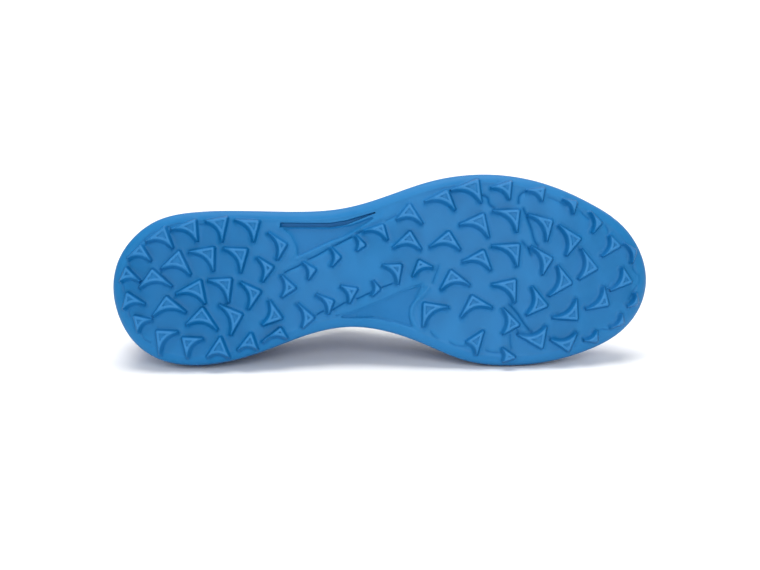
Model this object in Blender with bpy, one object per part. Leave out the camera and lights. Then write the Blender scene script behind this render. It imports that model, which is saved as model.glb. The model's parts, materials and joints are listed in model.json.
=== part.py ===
"""Turf shoe for the right foot, lying empty on its medial side.

The shoe is modelled standing: X runs from heel to toe, +Y is the medial side, Z is up,
and the lug tops of heel and forefoot lie on the plane z = 0. An empty then lays it down
on the three points that such a shoe rests on: heel edge, ball edge and collar.
Sizes are in metres.
"""

import math
from collections import namedtuple

import bmesh
import bpy
import numpy as np
from mathutils import Matrix, Vector
from mathutils.geometry import delaunay_2d_cdt

# Driving sizes of the last and the sole
LENGTH = 0.290
BALL_WIDTH = 0.1035
HEEL_HEIGHT = 0.084
INSTEP_HEIGHT = 0.086
TOE_SPRING = 0.013
ARCH_RISE = 0.0045
HEEL_BEVEL = 0.0035

# Sizes of the outsole
LUG_HEIGHT = 0.0045
LUG_DRAFT = 0.0009
TREAD_STEP = 0.0006
PANEL_DEPTH = 0.0011
SLOT_DEPTH = 0.0022
RIM_REACH = 0.0065
RIM_RISE = 0.0050
RIM_START = 0.0006
ROUNDING_INSET = 0.0026
STEP_INSET = 0.0050
CUP_HEIGHT = 0.027
CUP_WALL = 0.0042
SIDE_STEP = 0.0009
SIDE_LEAN = 0.0003
TOP_ROUND_START = 0.0008
TOP_ROUND = 0.0018
FOOTBED_HEEL = 0.0135
FOOTBED_BALL = 0.0095

# Sizes of the upper and what lies in and on it
WALL = 0.0020
OVERLAY = 0.0008
COLLAR_PAD = 0.0040
INSOLE_THICKNESS = 0.0040
TONGUE_THICKNESS = 0.0036
TONGUE_TOP_WIDTH = 0.040
TONGUE_END_WIDTH = 0.038
TONGUE_TAPER = 0.86
TONGUE_CURL = 0.24
TONGUE_FIRST = 0.49
TONGUE_LAST = 0.775
TONGUE_RISE = 0.020
LACE_WIDTH = 0.0056
LACE_THICKNESS = 0.0018
EYELET_RADIUS = 0.0021
EYELET_PAIRS = 6
GAP = 0.0003
SOFT_GAP = 0.0005
INSOLE_GAP = 0.0010
TONGUE_GAP = 0.0008

# How finely curves are divided
EDGE_POINTS = 96
INSOLE_POINTS = 64
TONGUE_POINTS = 11
LACE_STEPS = 6
UPPER_WAYS = 35
KNOT_STEPS = 60
# The plan is triangulated in millimetres, where points this near to each other are one
PLAN_SCALE = 1000.0
PLAN_MERGE = 0.02

# Weights that set where the shoe balances, in kilograms per cubic metre
RUBBER = 1100.0
CLOTH = 600.0
FOAM = 200.0

LATERAL = -1
MEDIAL = 1

# The sole's outline from the heel's back round the lateral side to the toe and back.
# Columns: along in hundredths of LENGTH, across in hundredths of BALL_WIDTH
OUTLINE = (
    (0.0, 1.6), (1.0, -13.0), (3.6, -24.0), (8.4, -33.8), (15.0, -38.0), (24.0, -38.8),
    (34.0, -38.4), (42.5, -40.0), (50.0, -45.5), (59.5, -54.3), (69.0, -57.7),
    (80.0, -53.4), (89.5, -42.4), (95.5, -31.0), (98.9, -17.0), (100.0, -2.0),
    (98.7, 12.0), (95.0, 24.6), (89.0, 33.8), (82.0, 39.6), (74.5, 41.9), (66.0, 39.6),
    (57.5, 30.2), (50.5, 23.9), (44.5, 22.0), (38.0, 24.8), (28.5, 34.3), (20.5, 40.6),
    (14.5, 41.9), (8.8, 38.9), (3.7, 28.8), (0.9, 15.0),
)
TOE_KNOT = 15

# The lugs are charted by eye on the photograph's own 760 by 570 grid, toe to the right,
# with the lateral side at the top. These values turn a chart point into the shoe's sizes.
CHART_HEEL = 113
CHART_TOE = 648
CHART_AXIS = 285
CHART_BALL = 191
CHART_CENTRE = 380
# Lug tops stand nearer to the camera than the outline, so they look this much larger
CHART_NEARNESS = 1.015

# Columns: the tip between the straight flanks, then the two wing tips
Lug = namedtuple("Lug", "tip wing other")
HEEL_LUGS = (
    Lug((124, 267), (118, 281), (138, 281)),
    Lug((139.5, 244.5), (126, 258), (149, 260)),
    Lug((163.5, 226.5), (145, 241), (171, 247)),
    Lug((194.5, 219), (170, 229), (196, 240)),
    Lug((226.5, 216.5), (205, 220.5), (221, 241)),
    Lug((258.5, 220.5), (235, 219.5), (253, 241)),
    Lug((286, 244), (268, 232.5), (277, 259)),
    Lug((125, 292.5), (121, 309), (143, 304)),
    Lug((132, 316), (150, 320), (136, 332)),
    Lug((155, 331), (176, 332), (158, 355)),
    Lug((181, 338), (201, 339), (186, 358)),
    Lug((219.5, 337), (206, 357), (228, 358)),
    Lug((250.3, 333), (237, 350), (257, 351.5)),
    Lug((280, 328), (262, 342), (287, 341)),
    Lug((151, 269), (138, 287.5), (170, 286)),
    Lug((178, 250.5), (160, 268), (189, 274)),
    Lug((213, 247), (188, 251.5), (212.5, 270)),
    Lug((246.5, 249), (223, 248), (240, 272)),
    Lug((272.5, 267), (257, 257.5), (262, 281)),
    Lug((165, 296.5), (151.5, 316), (184, 312)),
    Lug((201.5, 307.5), (185, 324.5), (216, 329.5)),
    Lug((241.5, 314.5), (218.5, 305), (230, 335)),
    Lug((281.5, 318.5), (269, 301), (262, 325)),
    Lug((199.5, 280), (175, 293.5), (204, 303)),
    Lug((230.5, 278.5), (207.5, 280), (227.5, 302)),
    Lug((260, 291.5), (240.5, 282.5), (248, 309)),
    Lug((295, 288), (281, 275.5), (281.5, 297)),
)
WAIST_LUGS = (
    Lug((313.5, 318), (296.5, 303.5), (302, 328)),
    Lug((315, 269.5), (302, 262), (308, 279)),
    Lug((340, 257), (330.5, 247.5), (331.5, 266)),
    Lug((365, 245), (355, 235), (357, 250)),
    Lug((383, 224), (363, 230.5), (387, 239)),
    Lug((333, 301), (315.5, 294.5), (328, 314)),
    Lug((357, 288.5), (340.5, 286), (349, 303)),
    Lug((380, 289), (373, 281), (372, 296)),
    Lug((401.5, 264.5), (383, 265), (398, 284)),
    Lug((419, 260), (432, 267), (413, 276)),
)
FOREFOOT_LUGS = (
    Lug((409.5, 203), (397, 218.5), (422, 223)),
    Lug((410, 231), (393, 247), (421, 249)),
    Lug((449, 231), (430, 246.5), (460, 249)),
    Lug((447.5, 189.5), (425, 201), (455, 209)),
    Lug((478.5, 178.5), (451, 189.5), (481.5, 201.5)),
    Lug((484, 213), (460, 224), (489, 236.5)),
    Lug((484, 250), (462.5, 261.5), (491, 269.5)),
    Lug((451, 270), (469.5, 284.5), (441, 289)),
    Lug((472, 295.5), (492, 307.5), (461, 317)),
    Lug((423.5, 303), (447.5, 307), (423, 327)),
    Lug((484, 331), (467, 342), (477, 355)),
    Lug((520, 325), (504, 309), (504, 334)),
    Lug((516, 358), (503, 349), (504, 363)),
    Lug((516, 279.5), (492.5, 284.5), (515.5, 302)),
    Lug((548.5, 306), (533, 287), (528, 315)),
    Lug((579, 320), (578, 300), (553.5, 318)),
    Lug((611, 305.5), (606.5, 287.5), (588, 309.5)),
    Lug((635.5, 282), (626, 268), (613, 290.5)),
    Lug((623.5, 245.5), (613, 235), (605, 256)),
    Lug((604, 222), (593, 211.5), (595, 232)),
    Lug((578.5, 201), (565, 198.5), (575, 212.5)),
    Lug((545.5, 187), (528, 190), (543, 200)),
    Lug((512, 180.5), (492, 187), (510, 198)),
    Lug((520, 209.5), (493.5, 210.5), (517.5, 231)),
    Lug((553.5, 220), (529, 214), (548, 240)),
    Lug((582.5, 238), (560.5, 225), (568, 255)),
    Lug((599.5, 268.5), (583.5, 249), (581, 279)),
    Lug((520, 244), (492.5, 245.5), (518, 266)),
    Lug((553.5, 258), (531.5, 246), (543.5, 274)),
    Lug((573.5, 283), (559.5, 266), (550.5, 296)),
    Lug((543, 349), (519, 335), (547, 327.5)),
    Lug((570, 352), (552, 340), (578, 334)),
    Lug((600, 343.5), (586, 341), (599, 332)),
    Lug((627, 324), (614, 328), (625, 315)),
    Lug((642, 304), (631, 307), (640, 294)),
    Lug((641, 249.5), (628, 243), (636, 262)),
)
LUG_HOLLOW = 0.19

# The cup's side, row by row. Columns: inset from the outline, then the share of the way
# from the tread's border to the top of the cup
SIDE_ROWS = (
    (0.0, 0.15), (0.0, 0.40), (SIDE_STEP, 0.44), (SIDE_STEP, 0.53), (SIDE_LEAN, 0.57),
    (TOP_ROUND_START, 0.93), (TOP_ROUND, 1.0), (CUP_WALL, 1.0),
)

# Waist panels of the tread, on the same chart
LATERAL_PANEL = (
    (285, 229), (330, 229.5), (352, 226), (372, 218.5), (361, 226), (346, 235),
    (329, 241), (310, 250), (299, 255), (297, 245), (292, 235),
)
LATERAL_SLOT = ((281, 223.6), (330, 223.8), (346, 221.2), (375, 212.8), (346, 224.4), (330, 227), (281, 227))
MEDIAL_PANEL = (
    (342, 316.5), (353, 313), (371, 306), (390, 298), (402, 292), (420, 286.5),
    (415, 297), (408.5, 307), (408, 317), (411, 325.5), (390, 320), (378, 317),
)

# The upper's top line: round the collar, down the throat, then the ridge to the toe.
# Columns: way along the side from heel to toe, place along LENGTH, middle and half gap
# in BALL_WIDTH, and height in HEEL_HEIGHT and INSTEP_HEIGHT
TopRow = namedtuple("TopRow", "way along middle half heel instep")
COLLAR_AND_THROAT = (
    TopRow(0.000, 0.036, 0.012, 0.000, 1.000, 0.000),
    TopRow(0.060, 0.048, 0.010, 0.130, 0.985, 0.000),
    TopRow(0.120, 0.084, 0.010, 0.228, 0.935, 0.000),
    TopRow(0.200, 0.150, 0.010, 0.298, 0.850, 0.000),
    TopRow(0.280, 0.225, -0.008, 0.298, 0.795, 0.000),
    TopRow(0.360, 0.305, -0.032, 0.240, 0.835, 0.000),
    TopRow(0.430, 0.370, -0.042, 0.180, 0.460, 0.480),
    TopRow(0.470, 0.405, -0.045, 0.155, 0.000, 1.000),
    TopRow(0.540, 0.470, -0.048, 0.145, 0.000, 0.930),
    TopRow(0.610, 0.535, -0.052, 0.130, 0.000, 0.840),
    TopRow(0.670, 0.595, -0.055, 0.108, 0.000, 0.757),
    TopRow(0.712, 0.636, -0.057, 0.074, 0.000, 0.704),
    TopRow(0.735, 0.655, -0.058, 0.034, 0.000, 0.681),
    TopRow(0.745, 0.660, -0.058, 0.000, 0.000, 0.675),
)
RIDGE = (
    TopRow(0.745, 0.660, -0.058, 0.000, 0.000, 0.675),
    TopRow(0.800, 0.725, -0.055, 0.000, 0.000, 0.608),
    TopRow(0.870, 0.810, -0.043, 0.000, 0.000, 0.520),
    TopRow(0.940, 0.890, -0.030, 0.000, 0.000, 0.430),
    TopRow(1.000, 0.940, -0.020, 0.000, 0.000, 0.368),
)
VAMP_WAY = COLLAR_AND_THROAT[-1].way

# How each rib line of the last leaves the sole and reaches the top line. Shares of the
# line's own height and width, and the heading at its top: 0 heel, 90 side, 180 toe
Bend = namedtuple("Bend", "way rise bulge reach drop turn")
BENDS = (
    Bend(0.000, 0.38, 0.050, 0.25, 0.34, 0),
    Bend(0.060, 0.38, 0.050, 0.35, 0.34, 25),
    Bend(0.120, 0.38, 0.034, 0.40, 0.34, 60),
    Bend(0.200, 0.38, 0.018, 0.34, 0.34, 84),
    Bend(0.280, 0.38, 0.026, 0.40, 0.34, 90),
    Bend(0.360, 0.38, 0.042, 0.55, 0.33, 90),
    Bend(0.470, 0.40, 0.048, 0.68, 0.28, 90),
    Bend(0.540, 0.40, 0.048, 0.68, 0.22, 90),
    Bend(0.610, 0.42, 0.050, 0.65, 0.16, 90),
    Bend(0.670, 0.44, 0.052, 0.60, 0.11, 90),
    Bend(0.745, 0.46, 0.055, 0.58, 0.04, 90),
    Bend(0.800, 0.47, 0.058, 0.58, 0.00, 90),
    Bend(0.870, 0.48, 0.058, 0.58, 0.00, 92),
    Bend(0.940, 0.50, 0.055, 0.55, 0.00, 125),
    Bend(1.000, 0.52, 0.050, 0.50, 0.00, 180),
)

# Upper edge of the heel counter, foxing and toe guard, as a share of the way up
GuardRow = namedtuple("GuardRow", "way up")
GUARD_LINE = (
    GuardRow(0.00, 0.42), GuardRow(0.10, 0.40), GuardRow(0.19, 0.30), GuardRow(0.28, 0.17),
    GuardRow(0.42, 0.11), GuardRow(0.60, 0.12), GuardRow(0.74, 0.17), GuardRow(0.82, 0.27),
    GuardRow(0.88, 0.45), GuardRow(0.93, 0.66), GuardRow(1.00, 0.75),
)
COLLAR_PAD_END = 0.39
FACING_LINE = 0.80
FACING_END = 0.772
FACING_ROUND = 0.030
STEP_WIDTH = 0.012
EYELET_UP = 0.905
FIRST_EYELET = 0.492
LAST_EYELET = 0.708


def cubic(keys, values, start=None, end=None):
    """Smooth curve through a table column, flat at an end where that slope is given."""
    keys = np.array(keys, float)
    values = np.array(values, float)
    count = len(keys)
    step = np.diff(keys)
    slope = np.diff(values) / step
    system = np.zeros((count, count))
    right = np.zeros(count)
    for i in range(1, count - 1):
        system[i, i - 1:i + 2] = step[i - 1], 2 * (step[i - 1] + step[i]), step[i]
        right[i] = 6 * (slope[i] - slope[i - 1])
    system[0, 0] = system[-1, -1] = 1.0
    if start is not None:
        system[0, :2] = 2 * step[0], step[0]
        right[0] = 6 * (slope[0] - start)
    if end is not None:
        system[-1, -2:] = step[-1], 2 * step[-1]
        right[-1] = 6 * (end - slope[-1])
    bend = np.linalg.solve(system, right)

    def at(where):
        where = np.clip(np.asarray(where, float), keys[0], keys[-1])
        i = np.clip(np.searchsorted(keys, where, side="right") - 1, 0, count - 2)
        t = (where - keys[i]) / step[i]
        s = 1 - t
        lift = step[i] ** 2 / 6 * ((s ** 3 - s) * bend[i] + (t ** 3 - t) * bend[i + 1])
        return s * values[i] + t * values[i + 1] + lift

    return at


def smooth(value):
    """Ease from 0 to 1."""
    value = np.clip(value, 0.0, 1.0)
    return value * value * (3 - 2 * value)


def outline_curve():
    """The closed outline as a dense smooth curve, with its outward directions."""
    knots = np.array(OUTLINE) * (LENGTH / 100, BALL_WIDTH / 100)
    wrap = 4
    ring = np.vstack([knots[-wrap:], knots, knots[:wrap + 1]])
    chord = np.concatenate([[0.0], np.cumsum(np.linalg.norm(np.diff(ring, axis=0), axis=1))])
    spans = [np.linspace(chord[wrap + i], chord[wrap + i + 1], KNOT_STEPS, endpoint=False)
             for i in range(len(knots))]
    where = np.concatenate(spans)
    curve = np.column_stack([cubic(chord, ring[:, axis])(where) for axis in (0, 1)])
    along = np.roll(curve, -1, axis=0) - np.roll(curve, 1, axis=0)
    along /= np.linalg.norm(along, axis=1)[:, None]
    outward = np.column_stack([-along[:, 1], along[:, 0]])
    middle = curve.mean(axis=0)
    if np.mean(np.sum(outward * (curve - middle), axis=1)) < 0:
        outward = -outward
    return curve, outward


def side_tables():
    """Points and outward directions of each side, by the share of its own length."""
    curve, outward = outline_curve()
    toe = TOE_KNOT * KNOT_STEPS
    closed = np.vstack([curve, curve[:1]])
    directions = np.vstack([outward, outward[:1]])
    pieces = {LATERAL: (closed[:toe + 1], directions[:toe + 1]),
              MEDIAL: (closed[toe:][::-1], directions[toe:][::-1])}
    tables = {}
    for side, (points, normals) in pieces.items():
        length = np.concatenate([[0.0], np.cumsum(np.linalg.norm(np.diff(points, axis=0), axis=1))])
        tables[side] = (length / length[-1], points, normals)
    return tables


SIDES = side_tables()


def edge_point(side, way, inset):
    """Point of the outline, moved inwards, at a share of the way from heel to toe."""
    shares, points, normals = SIDES[side]
    x, y, nx, ny = (np.interp(way, shares, column) for column in (*points.T, *normals.T))
    size = np.hypot(nx, ny)
    return np.stack([x - inset * nx / size, y - inset * ny / size], axis=-1)


def ring(inset, count=EDGE_POINTS):
    """Closed ring inside the outline, from the heel's back round by the lateral side."""
    ways = np.arange(count // 2) / (count // 2)
    return np.vstack([edge_point(LATERAL, ways, inset), edge_point(MEDIAL, 1 - ways, inset)])


OUTLINE_RING = ring(0.0, 4 * EDGE_POINTS)


def polygon_distance(points, polygon):
    """Distance from points to a polygon's border, and whether each lies inside."""
    start = polygon[None, :, :]
    span = np.roll(polygon, -1, axis=0)[None, :, :] - start
    to = points[:, None, :] - start
    share = np.clip(np.sum(to * span, axis=2) / np.sum(span * span, axis=2), 0, 1)
    distance = np.linalg.norm(to - share[:, :, None] * span, axis=2).min(axis=1)
    above = (start[:, :, 1] > points[:, None, 1]) != ((start + span)[:, :, 1] > points[:, None, 1])
    rise = np.where(span[:, :, 1] == 0, 1e-12, span[:, :, 1])
    crossing = start[:, :, 0] + (points[:, None, 1] - start[:, :, 1]) * span[:, :, 0] / rise
    inside = (above & (points[:, None, 0] < crossing)).sum(axis=1) % 2 == 1
    return distance, inside


def edge_distance(points):
    """How far inside the outline each point lies."""
    distance, inside = polygon_distance(points, OUTLINE_RING)
    return np.where(inside, distance, -distance)


def toe_spring(x):
    return TOE_SPRING * np.clip((x / LENGTH - 0.72) / 0.28, 0, None) ** 1.8


def ground_rise(x):
    """How far the tread's plane leaves the ground: heel bevel, arch and toe spring."""
    u = x / LENGTH
    heel = HEEL_BEVEL * np.clip(1 - u / 0.09, 0, None) ** 2
    arch = ARCH_RISE * np.sin(np.pi * np.clip((u - 0.25) / 0.34, 0, 1)) ** 2
    return heel + arch + toe_spring(x)


def tread_height(x, edge):
    """The tread floor without its step, rounded up towards the outline."""
    near = np.clip(1 - edge / RIM_REACH, 0, 1)
    return LUG_HEIGHT + ground_rise(x) + RIM_RISE * (1 - np.sqrt(1 - near * near))


def footbed_height(x):
    """The inside of the cup, where insole and upper stand."""
    drop = smooth((x / LENGTH - 0.25) / 0.37)
    return FOOTBED_HEEL + (FOOTBED_BALL - FOOTBED_HEEL) * drop + toe_spring(x)


def cup_height(x):
    """The top of the cup's wall: high at the heel, low at the ball, a bumper at the toe."""
    share = cubic((0.0, 0.18, 0.40, 0.62, 0.80, 1.0), (1.0, 0.98, 0.84, 0.71, 0.69, 0.70))
    return CUP_HEIGHT * share(x / LENGTH) + toe_spring(x)


def chart(points, nearness=1.0):
    """Turn chart points into the shoe's sizes."""
    points = np.array(points, float)
    centre = np.array((CHART_CENTRE, CHART_AXIS))
    points = centre + (points - centre) / nearness
    x = (points[:, 0] - CHART_HEEL) / (CHART_TOE - CHART_HEEL) * LENGTH
    y = (points[:, 1] - CHART_AXIS) / CHART_BALL * BALL_WIDTH
    return np.column_stack([x, y])


def keep_inside(points, margin):
    """Move points that come too near to the outline inwards."""
    distance = edge_distance(points)
    nearest = np.linalg.norm(points[:, None] - OUTLINE_RING[None], axis=2).argmin(axis=1)
    normals = OUTLINE_RING - ring(0.001, 4 * EDGE_POINTS)
    normals /= np.linalg.norm(normals, axis=1)[:, None]
    lack = np.clip(margin - distance, 0, None)
    return points - normals[nearest] * lack[:, None]


def turned_left(polygon):
    """The polygon with its inside on the left of its border."""
    following = np.roll(polygon, -1, axis=0)
    area = np.sum(polygon[:, 0] * following[:, 1] - following[:, 0] * polygon[:, 1])
    return polygon if area > 0 else polygon[::-1]


def lug_top(lug):
    """Arrowhead outline of one lug's top: straight flanks and a hollow back."""
    tip, wing, other = chart((lug.tip, lug.wing, lug.other), CHART_NEARNESS)
    chord = other - wing
    towards = tip - (wing + other) / 2
    towards -= chord * np.dot(towards, chord) / np.dot(chord, chord)
    towards /= np.linalg.norm(towards)
    depth = LUG_HOLLOW * np.linalg.norm(chord)
    back = [wing + chord * t + towards * depth * 4 * t * (1 - t) for t in (0.22, 0.5, 0.78)]
    outline = np.array([tip, wing, *back, other])
    return turned_left(keep_inside(outline, RIM_START + 2 * LUG_DRAFT))


def grown(polygon, distance):
    """The polygon's border moved outwards, with two points at each outer corner."""
    before = polygon - np.roll(polygon, 1, axis=0)
    after = np.roll(polygon, -1, axis=0) - polygon
    before /= np.linalg.norm(before, axis=1)[:, None]
    after /= np.linalg.norm(after, axis=1)[:, None]
    out = []
    for point, a, b in zip(polygon, before, after):
        first = np.array((a[1], -a[0]))
        second = np.array((b[1], -b[0]))
        if a[0] * b[1] - a[1] * b[0] > 0:
            out += [point + first * distance, point + second * distance]
        else:
            both = first + second
            out.append(point + both / np.linalg.norm(both) * distance)
    return np.array(out)


def new_object(name, vertices, faces, material):
    """Mesh object whose faces all point outwards."""
    mesh = bpy.data.meshes.new(name)
    mesh.from_pydata([tuple(float(c) for c in v) for v in vertices], [], faces)
    form = bmesh.new()
    form.from_mesh(mesh)
    bmesh.ops.triangulate(form, faces=form.faces)
    bmesh.ops.recalc_face_normals(form, faces=form.faces)
    if form.calc_volume(signed=True) < 0:
        bmesh.ops.reverse_faces(form, faces=form.faces)
    form.to_mesh(mesh)
    form.free()
    mesh.materials.append(material)
    mesh.shade_smooth()
    mesh.set_sharp_from_angle(angle=math.radians(32))
    piece = bpy.data.objects.new(name, mesh)
    bpy.context.scene.collection.objects.link(piece)
    return piece


def finish(name, colour, roughness):
    material = bpy.data.materials.new(name)
    material.use_nodes = True
    shader = material.node_tree.nodes["Principled BSDF"]
    shader.inputs["Base Color"].default_value = (*colour, 1.0)
    shader.inputs["Roughness"].default_value = roughness
    shader.inputs["Metallic"].default_value = 0.0
    return material


def strip(first, second):
    """Quads between two closed rows of the same length."""
    count = len(first)
    return [(first[i], first[(i + 1) % count], second[(i + 1) % count], second[i]) for i in range(count)]


def plan_triangles(points, loops, border):
    """Triangulate points in plan, keeping the loops' edges, inside the border loop."""
    edges = [(loop[i], loop[(i + 1) % len(loop)]) for loop in loops for i in range(len(loop))]
    flat = [Vector(p) * PLAN_SCALE for p in points]
    result = delaunay_2d_cdt(flat, edges, [], 0, PLAN_MERGE, True)
    found = np.array([tuple(v) for v in result[0]]) / PLAN_SCALE
    place = {old: new for new, olds in enumerate(result[3]) for old in olds}
    rim = [place[i] for i in border]
    centres = np.array([found[list(face)].mean(axis=0) for face in result[2]])
    inside = polygon_distance(centres, found[rim])[1]
    faces = [tuple(face) for face, keep in zip(result[2], inside) if keep]
    used = sorted({v for face in faces for v in face})
    number = {old: new for new, old in enumerate(used)}
    faces = [tuple(number[v] for v in face) for face in faces]
    return found[used], faces, [number[v] for v in rim]


def make_outsole(material):
    """Cup sole: lugged tread, rounded rim, stepped side, rolled top edge and footbed."""
    tops = [lug_top(lug) for lug in HEEL_LUGS + WAIST_LUGS + FOREFOOT_LUGS]
    sunk = [(turned_left(chart(LATERAL_PANEL)), PANEL_DEPTH), (turned_left(chart(LATERAL_SLOT)), SLOT_DEPTH),
            (turned_left(chart(MEDIAL_PANEL)), PANEL_DEPTH)]
    contours = [ring(inset) for inset in (RIM_START, ROUNDING_INSET, STEP_INSET, STEP_INSET + TREAD_STEP)]
    for polygon in tops:
        contours += [polygon, grown(polygon, LUG_DRAFT)]
    for polygon, depth in sunk:
        contours += [polygon, grown(polygon, LUG_DRAFT)]
    points = np.vstack(contours)
    loops = []
    first = 0
    for contour in contours:
        loops.append(list(range(first, first + len(contour))))
        first += len(contour)
    plan, faces, rim = plan_triangles(points, loops, loops[0])

    edge = edge_distance(plan)
    plain = tread_height(plan[:, 0], edge)
    floor = plain - TREAD_STEP * np.clip((STEP_INSET + TREAD_STEP - edge) / TREAD_STEP, 0, 1)
    for polygon, depth in sunk:
        distance, inside = polygon_distance(plan, polygon)
        floor = floor + depth * np.clip(1 - np.where(inside, 0, distance) / LUG_DRAFT, 0, 1)
    height = floor
    for polygon in tops:
        distance, inside = polygon_distance(plan, polygon)
        share = np.clip(1 - np.where(inside, 0, distance) / LUG_DRAFT, 0, 1)
        height = height + (plain - LUG_HEIGHT - height) * share

    vertices = [(*p, z) for p, z in zip(plan, height)]
    row = rim
    bottom = tread_height(ring(0.0)[:, 0], np.full(EDGE_POINTS, RIM_START))
    top = cup_height(ring(0.0)[:, 0])
    for inset, share in SIDE_ROWS:
        new_row = list(range(len(vertices), len(vertices) + EDGE_POINTS))
        heights = bottom + (top - bottom) * share
        vertices += [(*p, z) for p, z in zip(ring(inset), heights)]
        faces += strip(row, new_row)
        row = new_row
    bed = ring(CUP_WALL)
    new_row = list(range(len(vertices), len(vertices) + EDGE_POINTS))
    vertices += [(*p, z) for p, z in zip(bed, footbed_height(bed[:, 0]))]
    faces += strip(row, new_row)
    cap, cap_faces, cap_rim = plan_triangles(bed, [list(range(EDGE_POINTS))], list(range(EDGE_POINTS)))
    back = {new: new_row[old] for old, new in enumerate(cap_rim)}
    faces += [tuple(back[v] for v in face) for face in cap_faces]
    return new_object("outsole", vertices, faces, material)


def make_insole(material):
    """Foam footbed that lies inside the upper's lower edge."""
    plan = ring(CUP_WALL + GAP + WALL + OVERLAY + INSOLE_GAP, INSOLE_POINTS)
    count = len(plan)
    below = footbed_height(plan[:, 0]) + GAP
    vertices = [(*p, z) for p, z in zip(plan, below)]
    vertices += [(*p, z + INSOLE_THICKNESS) for p, z in zip(plan, below)]
    low = list(range(count))
    high = list(range(count, 2 * count))
    faces = strip(low, high)
    flat, cap_faces, cap_rim = plan_triangles(plan, [low], low)
    back = {new: old for old, new in enumerate(cap_rim)}
    faces += [tuple(back[v] for v in face) for face in cap_faces]
    faces += [tuple(high[back[v]] for v in reversed(face)) for face in cap_faces]
    return new_object("insole", vertices, faces, material)


def column(table, name, start=None, end=None):
    """One column of a table as a smooth curve over the way along the side."""
    return cubic([row.way for row in table], [getattr(row, name) for row in table], start, end)


def top_line(side, way):
    """Collar and throat edge, then the ridge of the vamp, as points in space."""
    way = np.asarray(way, float)
    result = np.zeros(way.shape + (3,))
    for table, chosen, start, end in ((COLLAR_AND_THROAT, way <= VAMP_WAY, 0.0, None),
                                      (RIDGE, way > VAMP_WAY, None, 0.0)):
        at = {name: column(table, name, None if name == "half" else start, end)(way)
              for name in ("along", "middle", "half", "heel", "instep")}
        x = at["along"] * LENGTH
        y = (at["middle"] + side * at["half"]) * BALL_WIDTH
        z = at["heel"] * HEEL_HEIGHT + at["instep"] * INSTEP_HEIGHT + toe_spring(x)
        result[chosen] = np.stack([x, y, z], axis=-1)[chosen]
    return result


def forward(way):
    """Direction of the ridge, or straight ahead beside the open throat and collar."""
    small = 1e-3
    ahead = top_line(MEDIAL, np.clip(way + small, VAMP_WAY + small, 1)) \
        - top_line(MEDIAL, np.clip(way - small, VAMP_WAY, 1 - small))
    ahead[..., 1] = 0
    ahead /= np.linalg.norm(ahead, axis=-1)[..., None]
    straight = np.zeros_like(ahead)
    straight[..., 0] = 1
    return np.where((way > VAMP_WAY)[..., None], ahead, straight)


def last_surface(side, way, up):
    """The last's surface: way runs from heel to toe, up from the cup's edge to the top line."""
    way, up = np.broadcast_arrays(np.asarray(way, float), np.asarray(up, float))
    foot = edge_point(side, way, CUP_WALL + GAP)
    base = np.concatenate([foot, cup_height(foot[..., 0])[..., None]], axis=-1)
    top = top_line(side, way)
    bend = {name: column(BENDS, name, 0.0, 0.0)(way) for name in ("rise", "bulge", "reach", "drop")}
    turn = np.radians(column(BENDS, "turn")(way))
    tall = top[..., 2] - base[..., 2]
    wide = np.linalg.norm(top[..., :2] - base[..., :2], axis=-1)
    outward = edge_point(side, way, -0.01) - edge_point(side, way, 0.0)
    outward /= np.linalg.norm(outward, axis=-1)[..., None]
    lower = base.copy()
    lower[..., :2] += outward * (bend["bulge"] * tall)[..., None]
    lower[..., 2] += bend["rise"] * tall
    heading = -np.cos(turn)[..., None] * forward(way)
    heading[..., 1] += np.sin(turn) * side
    upper = top + heading * (bend["reach"] * wide)[..., None]
    upper[..., 2] -= bend["drop"] * tall
    t = up[..., None]
    s = 1 - t
    return s ** 3 * base + 3 * s * s * t * lower + 3 * s * t * t * upper + t ** 3 * top


def skirt_point(side, way):
    """Lower edge of the upper, straight below the cup's edge on the footbed."""
    x, y = edge_point(side, way, CUP_WALL + GAP)
    return np.array((x, y, footbed_height(x) + GAP))


def rows_up(way):
    """Heights of the grid's rows, set close together at the steps of the overlays."""
    guard = float(cubic([r.way for r in GUARD_LINE], [r.up for r in GUARD_LINE], 0.0, 0.0)(way))
    facing = FACING_LINE
    low = [guard * share for share in (0.0, 0.3, 0.65, 1.0)]
    bare = facing - guard - 2 * STEP_WIDTH
    middle = [guard + STEP_WIDTH + bare * share for share in (0.0, 0.36, 0.7, 1.0)]
    high = [facing + (1 - facing) * share for share in (0.0, 0.45, 1.0)]
    return low + middle + high


SKIRT = -1.0
LOW_ROWS = 5
MIDDLE_ROWS = 4


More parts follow.
